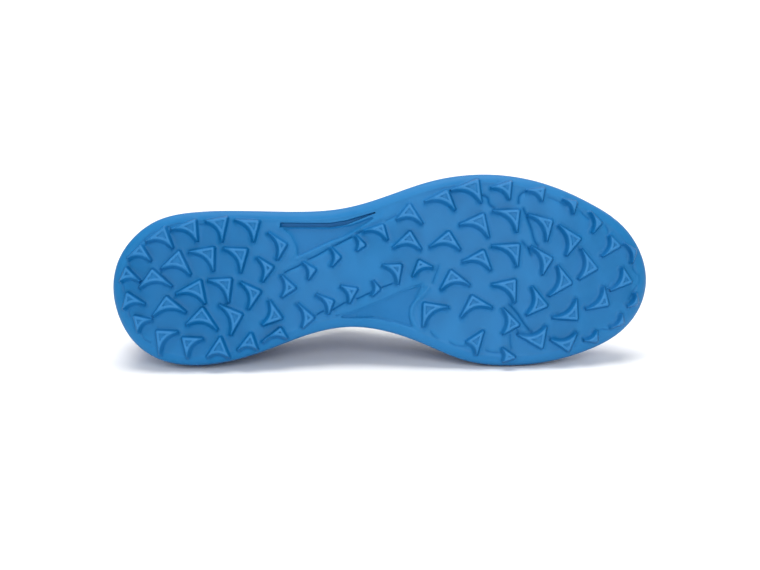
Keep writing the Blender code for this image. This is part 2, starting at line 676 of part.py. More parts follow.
def make_upper(material):
    """One hollow wall from the last's surface, with its overlays as steps in the wall."""
    ways = sorted([*np.linspace(0, 1, UPPER_WAYS), VAMP_WAY, FACING_END, FACING_END + STEP_WIDTH])
    ways = [w for i, w in enumerate(ways) if i == 0 or w - ways[i - 1] > 0.008 or w in (VAMP_WAY, FACING_END)]
    rows = 1 + len(rows_up(0.0))
    vertices = []
    depth = []
    grid = {}
    for side in (LATERAL, MEDIAL):
        for i, way in enumerate(ways):
            for j, up in enumerate([SKIRT, *rows_up(way)]):
                end = i in (0, len(ways) - 1)
                shared = side == MEDIAL and (end or (j == rows - 1 and way >= VAMP_WAY))
                if shared:
                    grid[side, i, j] = grid[LATERAL, i, j]
                    continue
                grid[side, i, j] = len(vertices)
                vertices.append(skirt_point(side, way) if up == SKIRT else last_surface(side, way, up))
                facing_end = FACING_END - FACING_ROUND * (1 - up) / (1 - FACING_LINE)
                bare = LOW_ROWS <= j < LOW_ROWS + MIDDLE_ROWS or (j >= LOW_ROWS and way > facing_end)
                pad = COLLAR_PAD * smooth((up - 0.55) / 0.35) * smooth((COLLAR_PAD_END - way) / 0.06)
                depth.append((OVERLAY if bare else 0.0, WALL + OVERLAY + float(pad)))
    count = len(vertices)
    quads = []
    for side in (LATERAL, MEDIAL):
        for i in range(len(ways) - 1):
            for j in range(rows - 1):
                corners = ((i, j), (i + 1, j), (i + 1, j + 1), (i, j + 1))
                quad = [grid[side, a, b] for a, b in corners]
                quads.append(quad if side == LATERAL else quad[::-1])
    normals = surface_normals(np.array(vertices), quads)
    outer = [v - n * d[0] for v, n, d in zip(vertices, normals, depth)]
    inner = [v - n * d[1] for v, n, d in zip(vertices, normals, depth)]
    faces = [tuple(q) for q in quads] + [tuple(v + count for v in reversed(q)) for q in quads]
    faces += [(a, b, b + count, a + count) for a, b in open_edges(quads)]
    return new_object("upper", outer + inner, faces, material)


def surface_normals(vertices, quads):
    """Unit normal at each vertex of an open surface, averaged over its quads."""
    normals = np.zeros_like(vertices)
    for quad in quads:
        a, b, c, d = vertices[quad]
        across = np.cross(c - a, d - b)
        for v in set(quad):
            normals[v] += across / max(np.linalg.norm(across), 1e-12)
    return normals / np.linalg.norm(normals, axis=1)[:, None]


def open_edges(quads):
    """Border edges of a surface, each in the direction that its quad has it."""
    seen = {}
    for quad in quads:
        for a, b in zip(quad, quad[1:] + quad[:1]):
            if a != b:
                seen[a, b] = seen.get((a, b), 0) + 1
    return [edge for edge in seen if (edge[1], edge[0]) not in seen]


def instep_section(way):
    """Curve over the instep from side to side: both walls and the bridge between them."""
    ups = np.linspace(0.45, 1.0, 24)
    left = last_surface(LATERAL, way, ups)
    right = last_surface(MEDIAL, way, ups)
    start, end = left[-1], right[-1]
    span = np.linalg.norm(end - start)
    arm = 0.28 * span
    leave = (left[-1] - left[-2]) / np.linalg.norm(left[-1] - left[-2])
    arrive = (right[-1] - right[-2]) / np.linalg.norm(right[-1] - right[-2])
    t = np.linspace(0, 1, 25)[1:-1, None]
    s = 1 - t
    bridge = s ** 3 * start + 3 * s * s * t * (start + leave * arm) \
        + 3 * s * t * t * (end + arrive * arm) + t ** 3 * end
    if span < 1e-6:
        bridge = np.empty((0, 3))
        right = right[:-1]
    path = np.vstack([left, bridge, right[::-1]])
    length = np.concatenate([[0.0], np.cumsum(np.linalg.norm(np.diff(path, axis=0), axis=1))])
    middle = (length[len(left) - 1] + length[len(left) - 1 + len(bridge) + (1 if len(bridge) else 0)]) / 2
    return path, length - middle


def instep_point(way, across):
    """Point of the closed instep surface, at a signed distance from its middle."""
    path, distance = instep_section(way)
    return np.array([np.interp(across, distance, path[:, axis]) for axis in range(3)])


def instep_normal(way, across):
    small_way = 2e-3
    small = 4e-4
    ahead = instep_point(way + small_way, across) - instep_point(way - small_way, across)
    beside = instep_point(way, across + small) - instep_point(way, across - small)
    normal = np.cross(ahead, beside)
    normal /= np.linalg.norm(normal)
    return normal if normal[2] > 0 else -normal


def eyelet_ways():
    return [FIRST_EYELET + (LAST_EYELET - FIRST_EYELET) * k / (EYELET_PAIRS - 1) for k in range(EYELET_PAIRS)]


def eyelet_reach(side, way):
    """Distance of an eyelet from the middle of the instep, along the surface."""
    path, distance = instep_section(way)
    place = last_surface(side, way, EYELET_UP)
    return distance[np.linalg.norm(path - place, axis=1).argmin()]


def make_eyelet_cutters():
    """Round pins through the eyestay, one for each eyelet."""
    form = bmesh.new()
    for side in (LATERAL, MEDIAL):
        for way in eyelet_ways():
            across = eyelet_reach(side, way)
            place = Vector(instep_point(way, across))
            axis = Vector(instep_normal(way, across))
            turn = axis.to_track_quat("Z", "Y").to_matrix().to_4x4()
            bmesh.ops.create_cone(form, cap_ends=True, segments=8, radius1=EYELET_RADIUS,
                                  radius2=EYELET_RADIUS, depth=4 * (WALL + OVERLAY),
                                  matrix=Matrix.Translation(place) @ turn)
    mesh = bpy.data.meshes.new("eyelet_cutters")
    form.to_mesh(mesh)
    form.free()
    cutters = bpy.data.objects.new("eyelet_cutters", mesh)
    bpy.context.scene.collection.objects.link(cutters)
    hide(cutters)
    return cutters


def hide(guide):
    guide.hide_render = True
    guide.display_type = "WIRE"


def make_tongue(material):
    """Padded tongue that follows the instep from under the vamp to above the top eyelets."""
    across_count = TONGUE_POINTS
    ways = np.linspace(TONGUE_FIRST, TONGUE_LAST, TONGUE_POINTS)
    sections = []
    for way in ways[::-1]:
        share = (way - ways[0]) / (ways[-1] - ways[0])
        half = (TONGUE_TOP_WIDTH + (TONGUE_END_WIDTH - TONGUE_TOP_WIDTH) * share) / 2
        sections.append([instep_point(way, a) for a in np.linspace(-half, half, across_count)])
    sections = [np.array(s) for s in sections]
    heading = sections[-1].mean(axis=0) - sections[-2].mean(axis=0)
    heading /= np.linalg.norm(heading)
    stages = 3
    for stage in range(stages):
        heading = heading + np.array((0.0, 0.0, TONGUE_CURL))
        heading /= np.linalg.norm(heading)
        section = sections[-1] + heading * (TONGUE_RISE / stages)
        middle = section.mean(axis=0)
        section = middle + (section - middle) * (1.0, TONGUE_TAPER, 1.0)
        sections.append(section)
    count = len(sections) * across_count
    vertices = np.vstack(sections)
    quads = [[i * across_count + j, i * across_count + j + 1,
              (i + 1) * across_count + j + 1, (i + 1) * across_count + j]
             for i in range(len(sections) - 1) for j in range(across_count - 1)]
    normals = surface_normals(vertices, quads)
    if normals[:, 2].mean() < 0:
        normals = -normals
    cover = WALL + OVERLAY + TONGUE_GAP
    outer = vertices - normals * cover
    inner = outer - normals * TONGUE_THICKNESS
    faces = [tuple(q) for q in quads] + [tuple(v + count for v in reversed(q)) for q in quads]
    faces += [(a, b, b + count, a + count) for a, b in open_edges(quads)]
    return new_object("tongue", list(outer) + list(inner), faces, material)


def lace_bar(name, start, end, over, material):
    """Flat lace from one eyelet across the throat to another; over lifts its middle."""
    steps = LACE_STEPS
    corners = ((1, -1), (1, 1), (-1, 1), (-1, -1))
    rows = []
    vertices = []
    (start_way, start_across), (end_way, end_across) = start, end
    for i in range(steps + 1):
        t = -0.05 + 1.10 * i / steps
        way = start_way + (end_way - start_way) * t
        across = start_across + (end_across - start_across) * t
        normal = instep_normal(way, across)
        lift = SOFT_GAP + LACE_THICKNESS / 2 + over * math.sin(math.pi * min(max(t, 0), 1))
        centre = instep_point(way, across) + normal * lift
        nearby = instep_point(way + (end_way - start_way) * 0.01, across + (end_across - start_across) * 0.01)
        along = nearby - instep_point(way, across)
        along /= np.linalg.norm(along)
        beside = np.cross(normal, along)
        row = []
        for across_sign, up_sign in corners:
            row.append(len(vertices))
            vertices.append(centre + beside * across_sign * LACE_WIDTH / 2
                            + normal * up_sign * LACE_THICKNESS / 2)
        rows.append(row)
    faces = [face for first, second in zip(rows, rows[1:]) for face in strip(first, second)]
    faces += [tuple(rows[0]), tuple(reversed(rows[-1]))]
    return new_object(name, vertices, faces, material)


def make_lace(material):
    """Criss-cross lacing from the lowest to the top pair of eyelets, as one solid."""
    ways = eyelet_ways()[::-1]
    spots = {(side, k): (way, eyelet_reach(side, way))
             for side in (LATERAL, MEDIAL) for k, way in enumerate(ways)}
    lace = lace_bar("lace", spots[LATERAL, 0], spots[MEDIAL, 0], 0.0, material)
    bars = bpy.data.collections.new("lace_bars")
    bpy.context.scene.collection.children.link(bars)
    for k in range(EYELET_PAIRS - 1):
        for side in (LATERAL, MEDIAL):
            over = LACE_THICKNESS * (0.45 if side == LATERAL else 0.0)
            bar = lace_bar(f"lace_bar_{k}_{side}", spots[side, k], spots[-side, k + 1], over, material)
            bpy.context.scene.collection.objects.unlink(bar)
            bars.objects.link(bar)
            hide(bar)
    join = lace.modifiers.new("crossings", "BOOLEAN")
    join.operation = "UNION"
    join.operand_type = "COLLECTION"
    join.collection = bars
    join.solver = "EXACT"
    return lace, list(bars.objects)


def mass_centre(pieces):
    """Where the weighted pieces balance, with each one's density."""
    total = 0.0
    centre = np.zeros(3)
    for piece, density in pieces:
        points = np.array([v.co for v in piece.data.vertices])
        for face in piece.data.polygons:
            a, b, c = points[list(face.vertices)]
            part = np.dot(a, np.cross(b, c)) / 6 * density
            total += part
            centre += part * (a + b + c) / 4
    return centre / total


def resting_pose(pieces):
    """Turn that lays the shoe on the medial side of its own hull, bottom centre at zero."""
    form = bmesh.new()
    for piece, density in pieces:
        for v in piece.data.vertices:
            form.verts.new(v.co)
    bmesh.ops.convex_hull(form, input=form.verts)
    centre = Vector(mass_centre(pieces))
    best = None
    for face in form.faces:
        normal = face.normal.normalized()
        if normal.y < 0.5:
            continue
        foot = centre + normal * (face.verts[0].co - centre).dot(normal)
        corners = [v.co for v in face.verts]
        margin = min((b - a).cross(foot - a).dot(normal) / (b - a).length
                     for a, b in zip(corners, corners[1:] + corners[:1]))
        if best is None or margin > best[0]:
            best = (margin, normal.copy())
    form.free()
    down = best[1]
    x_axis = (Vector((1, 0, 0)) - down * down.x).normalized()
    z_axis = -down
    y_axis = z_axis.cross(x_axis)
    turn = Matrix((x_axis, y_axis, z_axis)).to_4x4()
    points = np.array([turn @ v.co for piece, density in pieces for v in piece.data.vertices])
    low, high = points.min(axis=0), points.max(axis=0)
    shift = Matrix.Translation((-(low[0] + high[0]) / 2, -(low[1] + high[1]) / 2, -low[2]))
    return shift @ turn


def main():
    for old in list(bpy.data.objects):
        bpy.data.objects.remove(old, do_unlink=True)
    rubber = finish("blue rubber", (0.047, 0.212, 0.506), 0.52)
    cloth = finish("blue synthetic upper", (0.030, 0.130, 0.380), 0.55)
    lining = finish("navy tongue", (0.018, 0.055, 0.160), 0.80)
    foam = finish("dark insole", (0.030, 0.034, 0.045), 0.90)
    lace_white = finish("white lace", (0.720, 0.740, 0.760), 0.80)

    outsole = make_outsole(rubber)
    insole = make_insole(foam)
    upper = make_upper(cloth)
    tongue = make_tongue(lining)
    lace, bars = make_lace(lace_white)
    cutters = make_eyelet_cutters()
    punch = upper.modifiers.new("eyelets", "BOOLEAN")
    punch.operation = "DIFFERENCE"
    punch.object = cutters
    punch.solver = "EXACT"

    pose = bpy.data.objects.new("resting_pose", None)
    bpy.context.scene.collection.objects.link(pose)
    weighted = [(outsole, RUBBER), (insole, FOAM), (upper, CLOTH), (tongue, FOAM), (lace, CLOTH)]
    pose.matrix_world = resting_pose(weighted)
    for piece in [outsole, insole, upper, tongue, lace, cutters, *bars]:
        piece.parent = pose


main()
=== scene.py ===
# %% [markdown]
# # A turf shoe lying on its side, seen from below
#
# A turf shoe is a football shoe for artificial grass. Its outsole is one rubber
# moulding with dozens of small lugs, glued round the bottom of a light upper.
# This lesson dresses a plain solid model of a right shoe. The shoe lies on its medial
# side, so that the camera looks straight at the tread.

# %% Load the frame
import json
import math
from collections import namedtuple

import bmesh
import bpy
import numpy as np
from mathutils import Matrix, Vector
from mathutils.geometry import delaunay_2d_cdt


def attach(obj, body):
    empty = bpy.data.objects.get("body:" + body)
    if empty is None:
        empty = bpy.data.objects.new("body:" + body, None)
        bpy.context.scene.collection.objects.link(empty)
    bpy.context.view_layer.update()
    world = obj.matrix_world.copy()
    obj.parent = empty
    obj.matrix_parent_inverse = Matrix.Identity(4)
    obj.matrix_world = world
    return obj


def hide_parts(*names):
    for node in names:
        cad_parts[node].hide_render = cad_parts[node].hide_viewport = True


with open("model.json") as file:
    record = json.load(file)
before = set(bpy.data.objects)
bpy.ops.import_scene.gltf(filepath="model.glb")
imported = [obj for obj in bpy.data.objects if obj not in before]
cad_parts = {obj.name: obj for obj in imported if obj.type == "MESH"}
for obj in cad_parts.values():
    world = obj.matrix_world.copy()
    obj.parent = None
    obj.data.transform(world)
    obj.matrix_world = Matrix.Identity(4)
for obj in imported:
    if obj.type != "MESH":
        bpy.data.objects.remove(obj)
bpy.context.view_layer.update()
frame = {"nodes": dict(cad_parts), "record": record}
record = frame["record"]
print("nodes of the frame:", sorted(frame["nodes"]))

# %% [markdown]
# ## Where the shoe lies
#
# A shoemaker draws a shoe standing: X from heel to toe, +Y to the medial side, Z up.
# The frame holds it lying down. Two lug faces are known in both places, so they give
# the turn: one direction from heel to forefoot and one out of the sole.

# %% From the standing shoe to the lying one
HEEL_FACE = Vector((0.049707, 0.006527, 0.0))
FOREFOOT_FACE = Vector((0.202702, -0.010942, 0.0))
SOLE_OUT = Vector((0.0, 0.0, -1.0))


def pair_axes(along, out):
    """Three perpendicular axes from a direction and a normal."""
    first = along.normalized()
    third = out.normalized()
    return Matrix((first, third.cross(first), third)).transposed()


mounts = {mount["name"]: mount for mount in record["mounts"]}
heel_face = Vector(mounts["heel_lug_face"]["pos_m"])
forefoot_face = Vector(mounts["forefoot_lug_face"]["pos_m"])
sole_out = Vector(mounts["heel_lug_face"]["axis"])
lying_axes = pair_axes(forefoot_face - heel_face, sole_out)
TURN = lying_axes @ pair_axes(FOREFOOT_FACE - HEEL_FACE, SOLE_OUT).transposed()
LAY = Matrix.Translation(heel_face - TURN @ HEEL_FACE) @ TURN.to_4x4()
print("the sole leans back by", round(math.degrees(math.asin(sole_out.z)), 1), "degrees")

# %% [markdown]
# ## Camera
#
# The photograph looks straight at the tread from about a metre away, with the toe to the right.
# The camera stands on the sole's own normal and rolls so that the shoe's length lies
# level in the picture. Its height above the floor comes from the sole's lean.

# %% Put the camera in front of the tread
LENGTH = 0.290
BALL_WIDTH = 0.1035
SOLE_MIDDLE = Vector((0.1446, 0.0, 0.008))
CAMERA_DISTANCE = 1.10
PICTURE_WIDTH = 0.4100
toe_way = (TURN @ Vector((1, 0, 0))).normalized()
camera_data = bpy.data.cameras.new("camera")
camera_data.sensor_width = 36.0
camera_data.lens = camera_data.sensor_width * CAMERA_DISTANCE / PICTURE_WIDTH
camera = bpy.data.objects.new("camera", camera_data)
bpy.context.scene.collection.objects.link(camera)
up_way = sole_out.cross(toe_way).normalized()
place = LAY @ SOLE_MIDDLE + sole_out.normalized() * CAMERA_DISTANCE
camera.matrix_world = Matrix.Translation(place) @ Matrix((toe_way, up_way, sole_out)).transposed().to_4x4()
bpy.context.scene.camera = camera
print("camera height above the floor:", round(place.z, 3), "m, lens", round(camera_data.lens, 1), "mm")

# %% [markdown]
# ## Floor and light
#
# A packshot has a seamless white sweep: a floor that curves up behind the object.
# The photograph is lit from the front, so the drafted walls of the lugs go dark and
# their flat tops stay bright. One large soft light stands just above the camera, a weaker
# one at the left keeps the hollows open, and one overhead keeps the paper white.

# %% Build the white sweep
SWEEP_HALF_WIDTH = 3.0
SWEEP_FRONT = -2.5
SWEEP_BACK = 1.3
SWEEP_RADIUS = 0.8
SWEEP_TOP = 3.5


def plain_material(name, colour, roughness):
    """Principled finish with one colour."""
    material = bpy.data.materials.new(name)
    material.use_nodes = True
    shader = material.node_tree.nodes["Principled BSDF"]
    shader.inputs["Base Color"].default_value = (*colour, 1.0)
    shader.inputs["Roughness"].default_value = roughness
    return material


def link(name, mesh):
    piece = bpy.data.objects.new(name, mesh)
    bpy.context.scene.collection.objects.link(piece)
    return piece


def build_sweep():
    profile = [(SWEEP_FRONT, 0.0)]
    for step in range(13):
        angle = math.pi / 2 * step / 12
        profile.append((SWEEP_BACK + SWEEP_RADIUS * math.sin(angle), SWEEP_RADIUS * (1 - math.cos(angle))))
    profile.append((SWEEP_BACK + SWEEP_RADIUS, SWEEP_TOP))
    vertices = [(x, y, z) for y, z in profile for x in (-SWEEP_HALF_WIDTH, SWEEP_HALF_WIDTH)]
    faces = [(2 * i, 2 * i + 1, 2 * i + 3, 2 * i + 2) for i in range(len(profile) - 1)]
    mesh = bpy.data.meshes.new("sweep")
    mesh.from_pydata(vertices, [], faces)
    mesh.shade_smooth()
    mesh.materials.append(plain_material("white paper", (0.93, 0.93, 0.93), 0.9))
    return link("sweep", mesh)


sweep = build_sweep()
print("sweep built, the floor reaches", SWEEP_BACK, "m behind the shoe")

# %% Set the lights
Light = namedtuple("Light", "name place aim size power")
LIGHTS = (
    Light("key", (0.18, -1.35, 0.66), (0.0, 0.0, 0.05), 0.8, 11.0),
    Light("left fill", (-1.3, -0.7, 0.7), (0.0, 0.0, 0.05), 0.9, 4.5),
    Light("paper light", (0.0, 0.3, 2.4), (0.0, 1.6, 0.2), 2.2, 62.0),
)
for light in LIGHTS:
    data = bpy.data.lights.new(light.name, "AREA")
    data.shape = "DISK"
    data.size = light.size
    data.energy = light.power
    lamp = bpy.data.objects.new(light.name, data)
    bpy.context.scene.collection.objects.link(lamp)
    lamp.location = light.place
    lamp.rotation_euler = (Vector(light.aim) - Vector(light.place)).to_track_quat("-Z", "Y").to_euler()
world = bpy.data.worlds.new("studio")
world.use_nodes = True
world.node_tree.nodes["Background"].inputs["Color"].default_value = (1.0, 1.0, 1.0, 1.0)
world.node_tree.nodes["Background"].inputs["Strength"].default_value = 0.33
bpy.context.scene.world = world
bpy.context.scene.view_settings.view_transform = "Standard"
print("lights:", [light.name for light in LIGHTS])
# %% [markdown]
# ## The outline of the sole
#
# A pattern cutter stores an outline as a few measured points and a smooth curve through
# them. The two sides run from the heel's back to the tip of the toe. Each place on a
# side has a number from 0 to 1, its way, which sole and upper both use.

# %% Draw the outline
LATERAL = -1
MEDIAL = 1
TOE_SPRING = 0.013
ARCH_RISE = 0.0045
HEEL_BEVEL = 0.0035
LUG_HEIGHT = 0.0045
TREAD_STEP = 0.0006
PANEL_DEPTH = 0.0011
SLOT_DEPTH = 0.0022
RIM_REACH = 0.0065
RIM_RISE = 0.0050
RIM_START = 0.0006
STEP_INSET = 0.0050
CUP_HEIGHT = 0.027
CUP_WALL = 0.0042
FOOTBED_HEEL = 0.0135
FOOTBED_BALL = 0.0095
KNOT_STEPS = 60
RING_POINTS = 640

# Columns: along in hundredths of LENGTH, across in hundredths of BALL_WIDTH
OUTLINE = (
    (0.0, 1.6), (1.0, -13.0), (3.6, -24.0), (8.4, -33.8), (15.0, -38.0), (24.0, -38.8),
    (34.0, -38.4), (42.5, -40.0), (50.0, -45.5), (59.5, -54.3), (69.0, -57.7),
    (80.0, -53.4), (89.5, -42.4), (95.5, -31.0), (98.9, -17.0), (100.0, -2.0),
    (98.7, 12.0), (95.0, 24.6), (89.0, 33.8), (82.0, 39.6), (74.5, 41.9), (66.0, 39.6),
    (57.5, 30.2), (50.5, 23.9), (44.5, 22.0), (38.0, 24.8), (28.5, 34.3), (20.5, 40.6),
    (14.5, 41.9), (8.8, 38.9), (3.7, 28.8), (0.9, 15.0),
)
TOE_KNOT = 15


def cubic(keys, values, start=None, end=None):
    """Smooth curve through a table column, flat at an end where that slope is given."""
    keys = np.array(keys, float)
    values = np.array(values, float)
    count = len(keys)
    step = np.diff(keys)
    slope = np.diff(values) / step
    system = np.zeros((count, count))
    right = np.zeros(count)
    for i in range(1, count - 1):
        system[i, i - 1:i + 2] = step[i - 1], 2 * (step[i - 1] + step[i]), step[i]
        right[i] = 6 * (slope[i] - slope[i - 1])
    system[0, 0] = system[-1, -1] = 1.0
    if start is not None:
        system[0, :2] = 2 * step[0], step[0]
        right[0] = 6 * (slope[0] - start)
    if end is not None:
        system[-1, -2:] = step[-1], 2 * step[-1]
        right[-1] = 6 * (end - slope[-1])
    bend = np.linalg.solve(system, right)

    def at(where):
        where = np.clip(np.asarray(where, float), keys[0], keys[-1])
        i = np.clip(np.searchsorted(keys, where, side="right") - 1, 0, count - 2)
        t = (where - keys[i]) / step[i]
        s = 1 - t
        lift = step[i] ** 2 / 6 * ((s ** 3 - s) * bend[i] + (t ** 3 - t) * bend[i + 1])
        return s * values[i] + t * values[i + 1] + lift

    return at


def smooth(value):
    """Ease from 0 to 1."""
    value = np.clip(value, 0.0, 1.0)
    return value * value * (3 - 2 * value)


def unit(vectors):
    return vectors / np.linalg.norm(vectors, axis=-1, keepdims=True)


def path_lengths(points):
    """Distance along a path to each of its points."""
    return np.concatenate([[0.0], np.cumsum(np.linalg.norm(np.diff(points, axis=0), axis=1))])


def side_tables():
    """Points and outward directions of each side, by the share of its own length."""
    knots = np.array(OUTLINE) * (LENGTH / 100, BALL_WIDTH / 100)
    wrap = 4
    around = np.vstack([knots[-wrap:], knots, knots[:wrap + 1]])
    chord = path_lengths(around)
    where = np.concatenate([np.linspace(chord[wrap + i], chord[wrap + i + 1], KNOT_STEPS, endpoint=False)
                            for i in range(len(knots))])
    curve = np.column_stack([cubic(chord, around[:, axis])(where) for axis in (0, 1)])
    along = unit(np.roll(curve, -1, axis=0) - np.roll(curve, 1, axis=0))
    outward = np.column_stack([-along[:, 1], along[:, 0]])
    if np.mean(np.sum(outward * (curve - curve.mean(axis=0)), axis=1)) < 0:
        outward = -outward
    toe = TOE_KNOT * KNOT_STEPS
    closed = np.vstack([curve, curve[:1]])
    directions = np.vstack([outward, outward[:1]])
    tables = {}
    for side, part in ((LATERAL, slice(None, toe + 1)), (MEDIAL, slice(None, toe - 1 if toe else None, -1))):
        length = path_lengths(closed[part])
        tables[side] = (length / length[-1], closed[part], directions[part])
    return tables


SIDES = side_tables()


def edge_point(side, way, inset):
    """Point of the outline, moved inwards, at a share of the way from heel to toe."""
    shares, points, normals = SIDES[side]
    x, y, nx, ny = (np.interp(way, shares, column) for column in (*points.T, *normals.T))
    size = np.hypot(nx, ny)
    return np.stack([x - inset * nx / size, y - inset * ny / size], axis=-1)


def ring(inset, count=RING_POINTS):
    """Closed ring inside the outline, from the heel's back round by the lateral side."""
    ways = np.arange(count // 2) / (count // 2)
    return np.vstack([edge_point(LATERAL, ways, inset), edge_point(MEDIAL, 1 - ways, inset)])


OUTLINE_RING = ring(0.0)
CHUNK = 4000


def polygon_distance(points, polygon):
    """Distance from points to a polygon's border, and whether each lies inside."""
    start = polygon[None, :, :]
    span = np.roll(polygon, -1, axis=0)[None, :, :] - start
    rise = np.where(span[:, :, 1] == 0, 1e-12, span[:, :, 1])
    square = np.sum(span * span, axis=2)
    distances = []
    insides = []
    for first in range(0, len(points), CHUNK):
        part = points[first:first + CHUNK]
        to = part[:, None, :] - start
        share = np.clip(np.sum(to * span, axis=2) / square, 0, 1)
        distances.append(np.linalg.norm(to - share[:, :, None] * span, axis=2).min(axis=1))
        above = (start[:, :, 1] > part[:, None, 1]) != ((start + span)[:, :, 1] > part[:, None, 1])
        crossing = start[:, :, 0] + (part[:, None, 1] - start[:, :, 1]) * span[:, :, 0] / rise
        insides.append((above & (part[:, None, 0] < crossing)).sum(axis=1) % 2 == 1)
    return np.concatenate(distances), np.concatenate(insides)


def edge_distance(points):
    """How far inside the outline each point lies."""
    distance, inside = polygon_distance(points, OUTLINE_RING)
    return np.where(inside, distance, -distance)


def toe_spring(x):
    return TOE_SPRING * np.clip((x / LENGTH - 0.72) / 0.28, 0, None) ** 1.8


def ground_rise(x):
    """How far the tread's plane leaves the ground: heel bevel, arch and toe spring."""
    u = x / LENGTH
    heel = HEEL_BEVEL * np.clip(1 - u / 0.09, 0, None) ** 2
    arch = ARCH_RISE * np.sin(np.pi * np.clip((u - 0.25) / 0.34, 0, 1)) ** 2
    return heel + arch + toe_spring(x)


def tread_height(x, edge):
    """The tread floor without its step, rounded up towards the outline."""
    near = np.clip(1 - edge / RIM_REACH, 0, 1)
    return LUG_HEIGHT + ground_rise(x) + RIM_RISE * (1 - np.sqrt(1 - near * near))


def footbed_height(x):
    """The inside of the cup, where insole and upper stand."""
    drop = smooth((x / LENGTH - 0.25) / 0.37)
    return FOOTBED_HEEL + (FOOTBED_BALL - FOOTBED_HEEL) * drop + toe_spring(x)


def cup_height(x):
    """The top of the cup's wall: high at the heel, low at the ball, a bumper at the toe."""
    share = cubic((0.0, 0.18, 0.40, 0.62, 0.80, 1.0), (1.0, 0.98, 0.84, 0.71, 0.69, 0.70))
    return CUP_HEIGHT * share(x / LENGTH) + toe_spring(x)


print("outline:", round(path_lengths(OUTLINE_RING)[-1] * 1000), "mm round")

# %% [markdown]
# ## The lugs
#
# Each lug is an arrowhead: two straight flanks meet at the tip, and the back is hollow.
# The flanks drop steeply and the hollow back leans out, so that the shoe leaves the
# mould and sheds crumb. Three corners describe one lug.

# %% Chart the lugs
CHART_HEEL = 113
CHART_TOE = 648
CHART_AXIS = 285
CHART_BALL = 191
CHART_CENTRE = 380
# Lug tops stand nearer to the camera than the outline, so they look this much larger
CHART_NEARNESS = 1.015
LUG_DRAFT = 0.0009
LUG_HOLLOW = 0.19

# Columns: the tip between the straight flanks, then the two wing tips
Lug = namedtuple("Lug", "tip wing other")
HEEL_LUGS = (
    Lug((124, 267), (118, 281), (138, 281)),
    Lug((139.5, 244.5), (126, 258), (149, 260)),
    Lug((163.5, 226.5), (145, 241), (171, 247)),
    Lug((194.5, 219), (170, 229), (196, 240)),
    Lug((226.5, 216.5), (205, 220.5), (221, 241)),
    Lug((258.5, 220.5), (235, 219.5), (253, 241)),
    Lug((286, 244), (268, 232.5), (277, 259)),
    Lug((125, 292.5), (121, 309), (143, 304)),
    Lug((132, 316), (150, 320), (136, 332)),
    Lug((155, 331), (176, 332), (158, 355)),
    Lug((181, 338), (201, 339), (186, 358)),
    Lug((219.5, 337), (206, 357), (228, 358)),
    Lug((250.3, 333), (237, 350), (257, 351.5)),
    Lug((280, 328), (262, 342), (287, 341)),
    Lug((151, 269), (138, 287.5), (170, 286)),
    Lug((178, 250.5), (160, 268), (189, 274)),
    Lug((213, 247), (188, 251.5), (212.5, 270)),
    Lug((246.5, 249), (223, 248), (240, 272)),
    Lug((272.5, 267), (257, 257.5), (262, 281)),
    Lug((165, 296.5), (151.5, 316), (184, 312)),
    Lug((201.5, 307.5), (185, 324.5), (216, 329.5)),
    Lug((241.5, 314.5), (218.5, 305), (230, 335)),
    Lug((281.5, 318.5), (269, 301), (262, 325)),
    Lug((199.5, 280), (175, 293.5), (204, 303)),
    Lug((230.5, 278.5), (207.5, 280), (227.5, 302)),
    Lug((260, 291.5), (240.5, 282.5), (248, 309)),
    Lug((295, 288), (281, 275.5), (281.5, 297)),
)
WAIST_LUGS = (
    Lug((313.5, 318), (296.5, 303.5), (302, 328)),
    Lug((315, 269.5), (302, 262), (308, 279)),
    Lug((340, 257), (330.5, 247.5), (331.5, 266)),
    Lug((365, 245), (355, 235), (357, 250)),
    Lug((383, 224), (363, 230.5), (387, 239)),
    Lug((333, 301), (315.5, 294.5), (328, 314)),
    Lug((357, 288.5), (340.5, 286), (349, 303)),
    Lug((380, 289), (373, 281), (372, 296)),
    Lug((401.5, 264.5), (383, 265), (398, 284)),
    Lug((419, 260), (432, 267), (413, 276)),
)
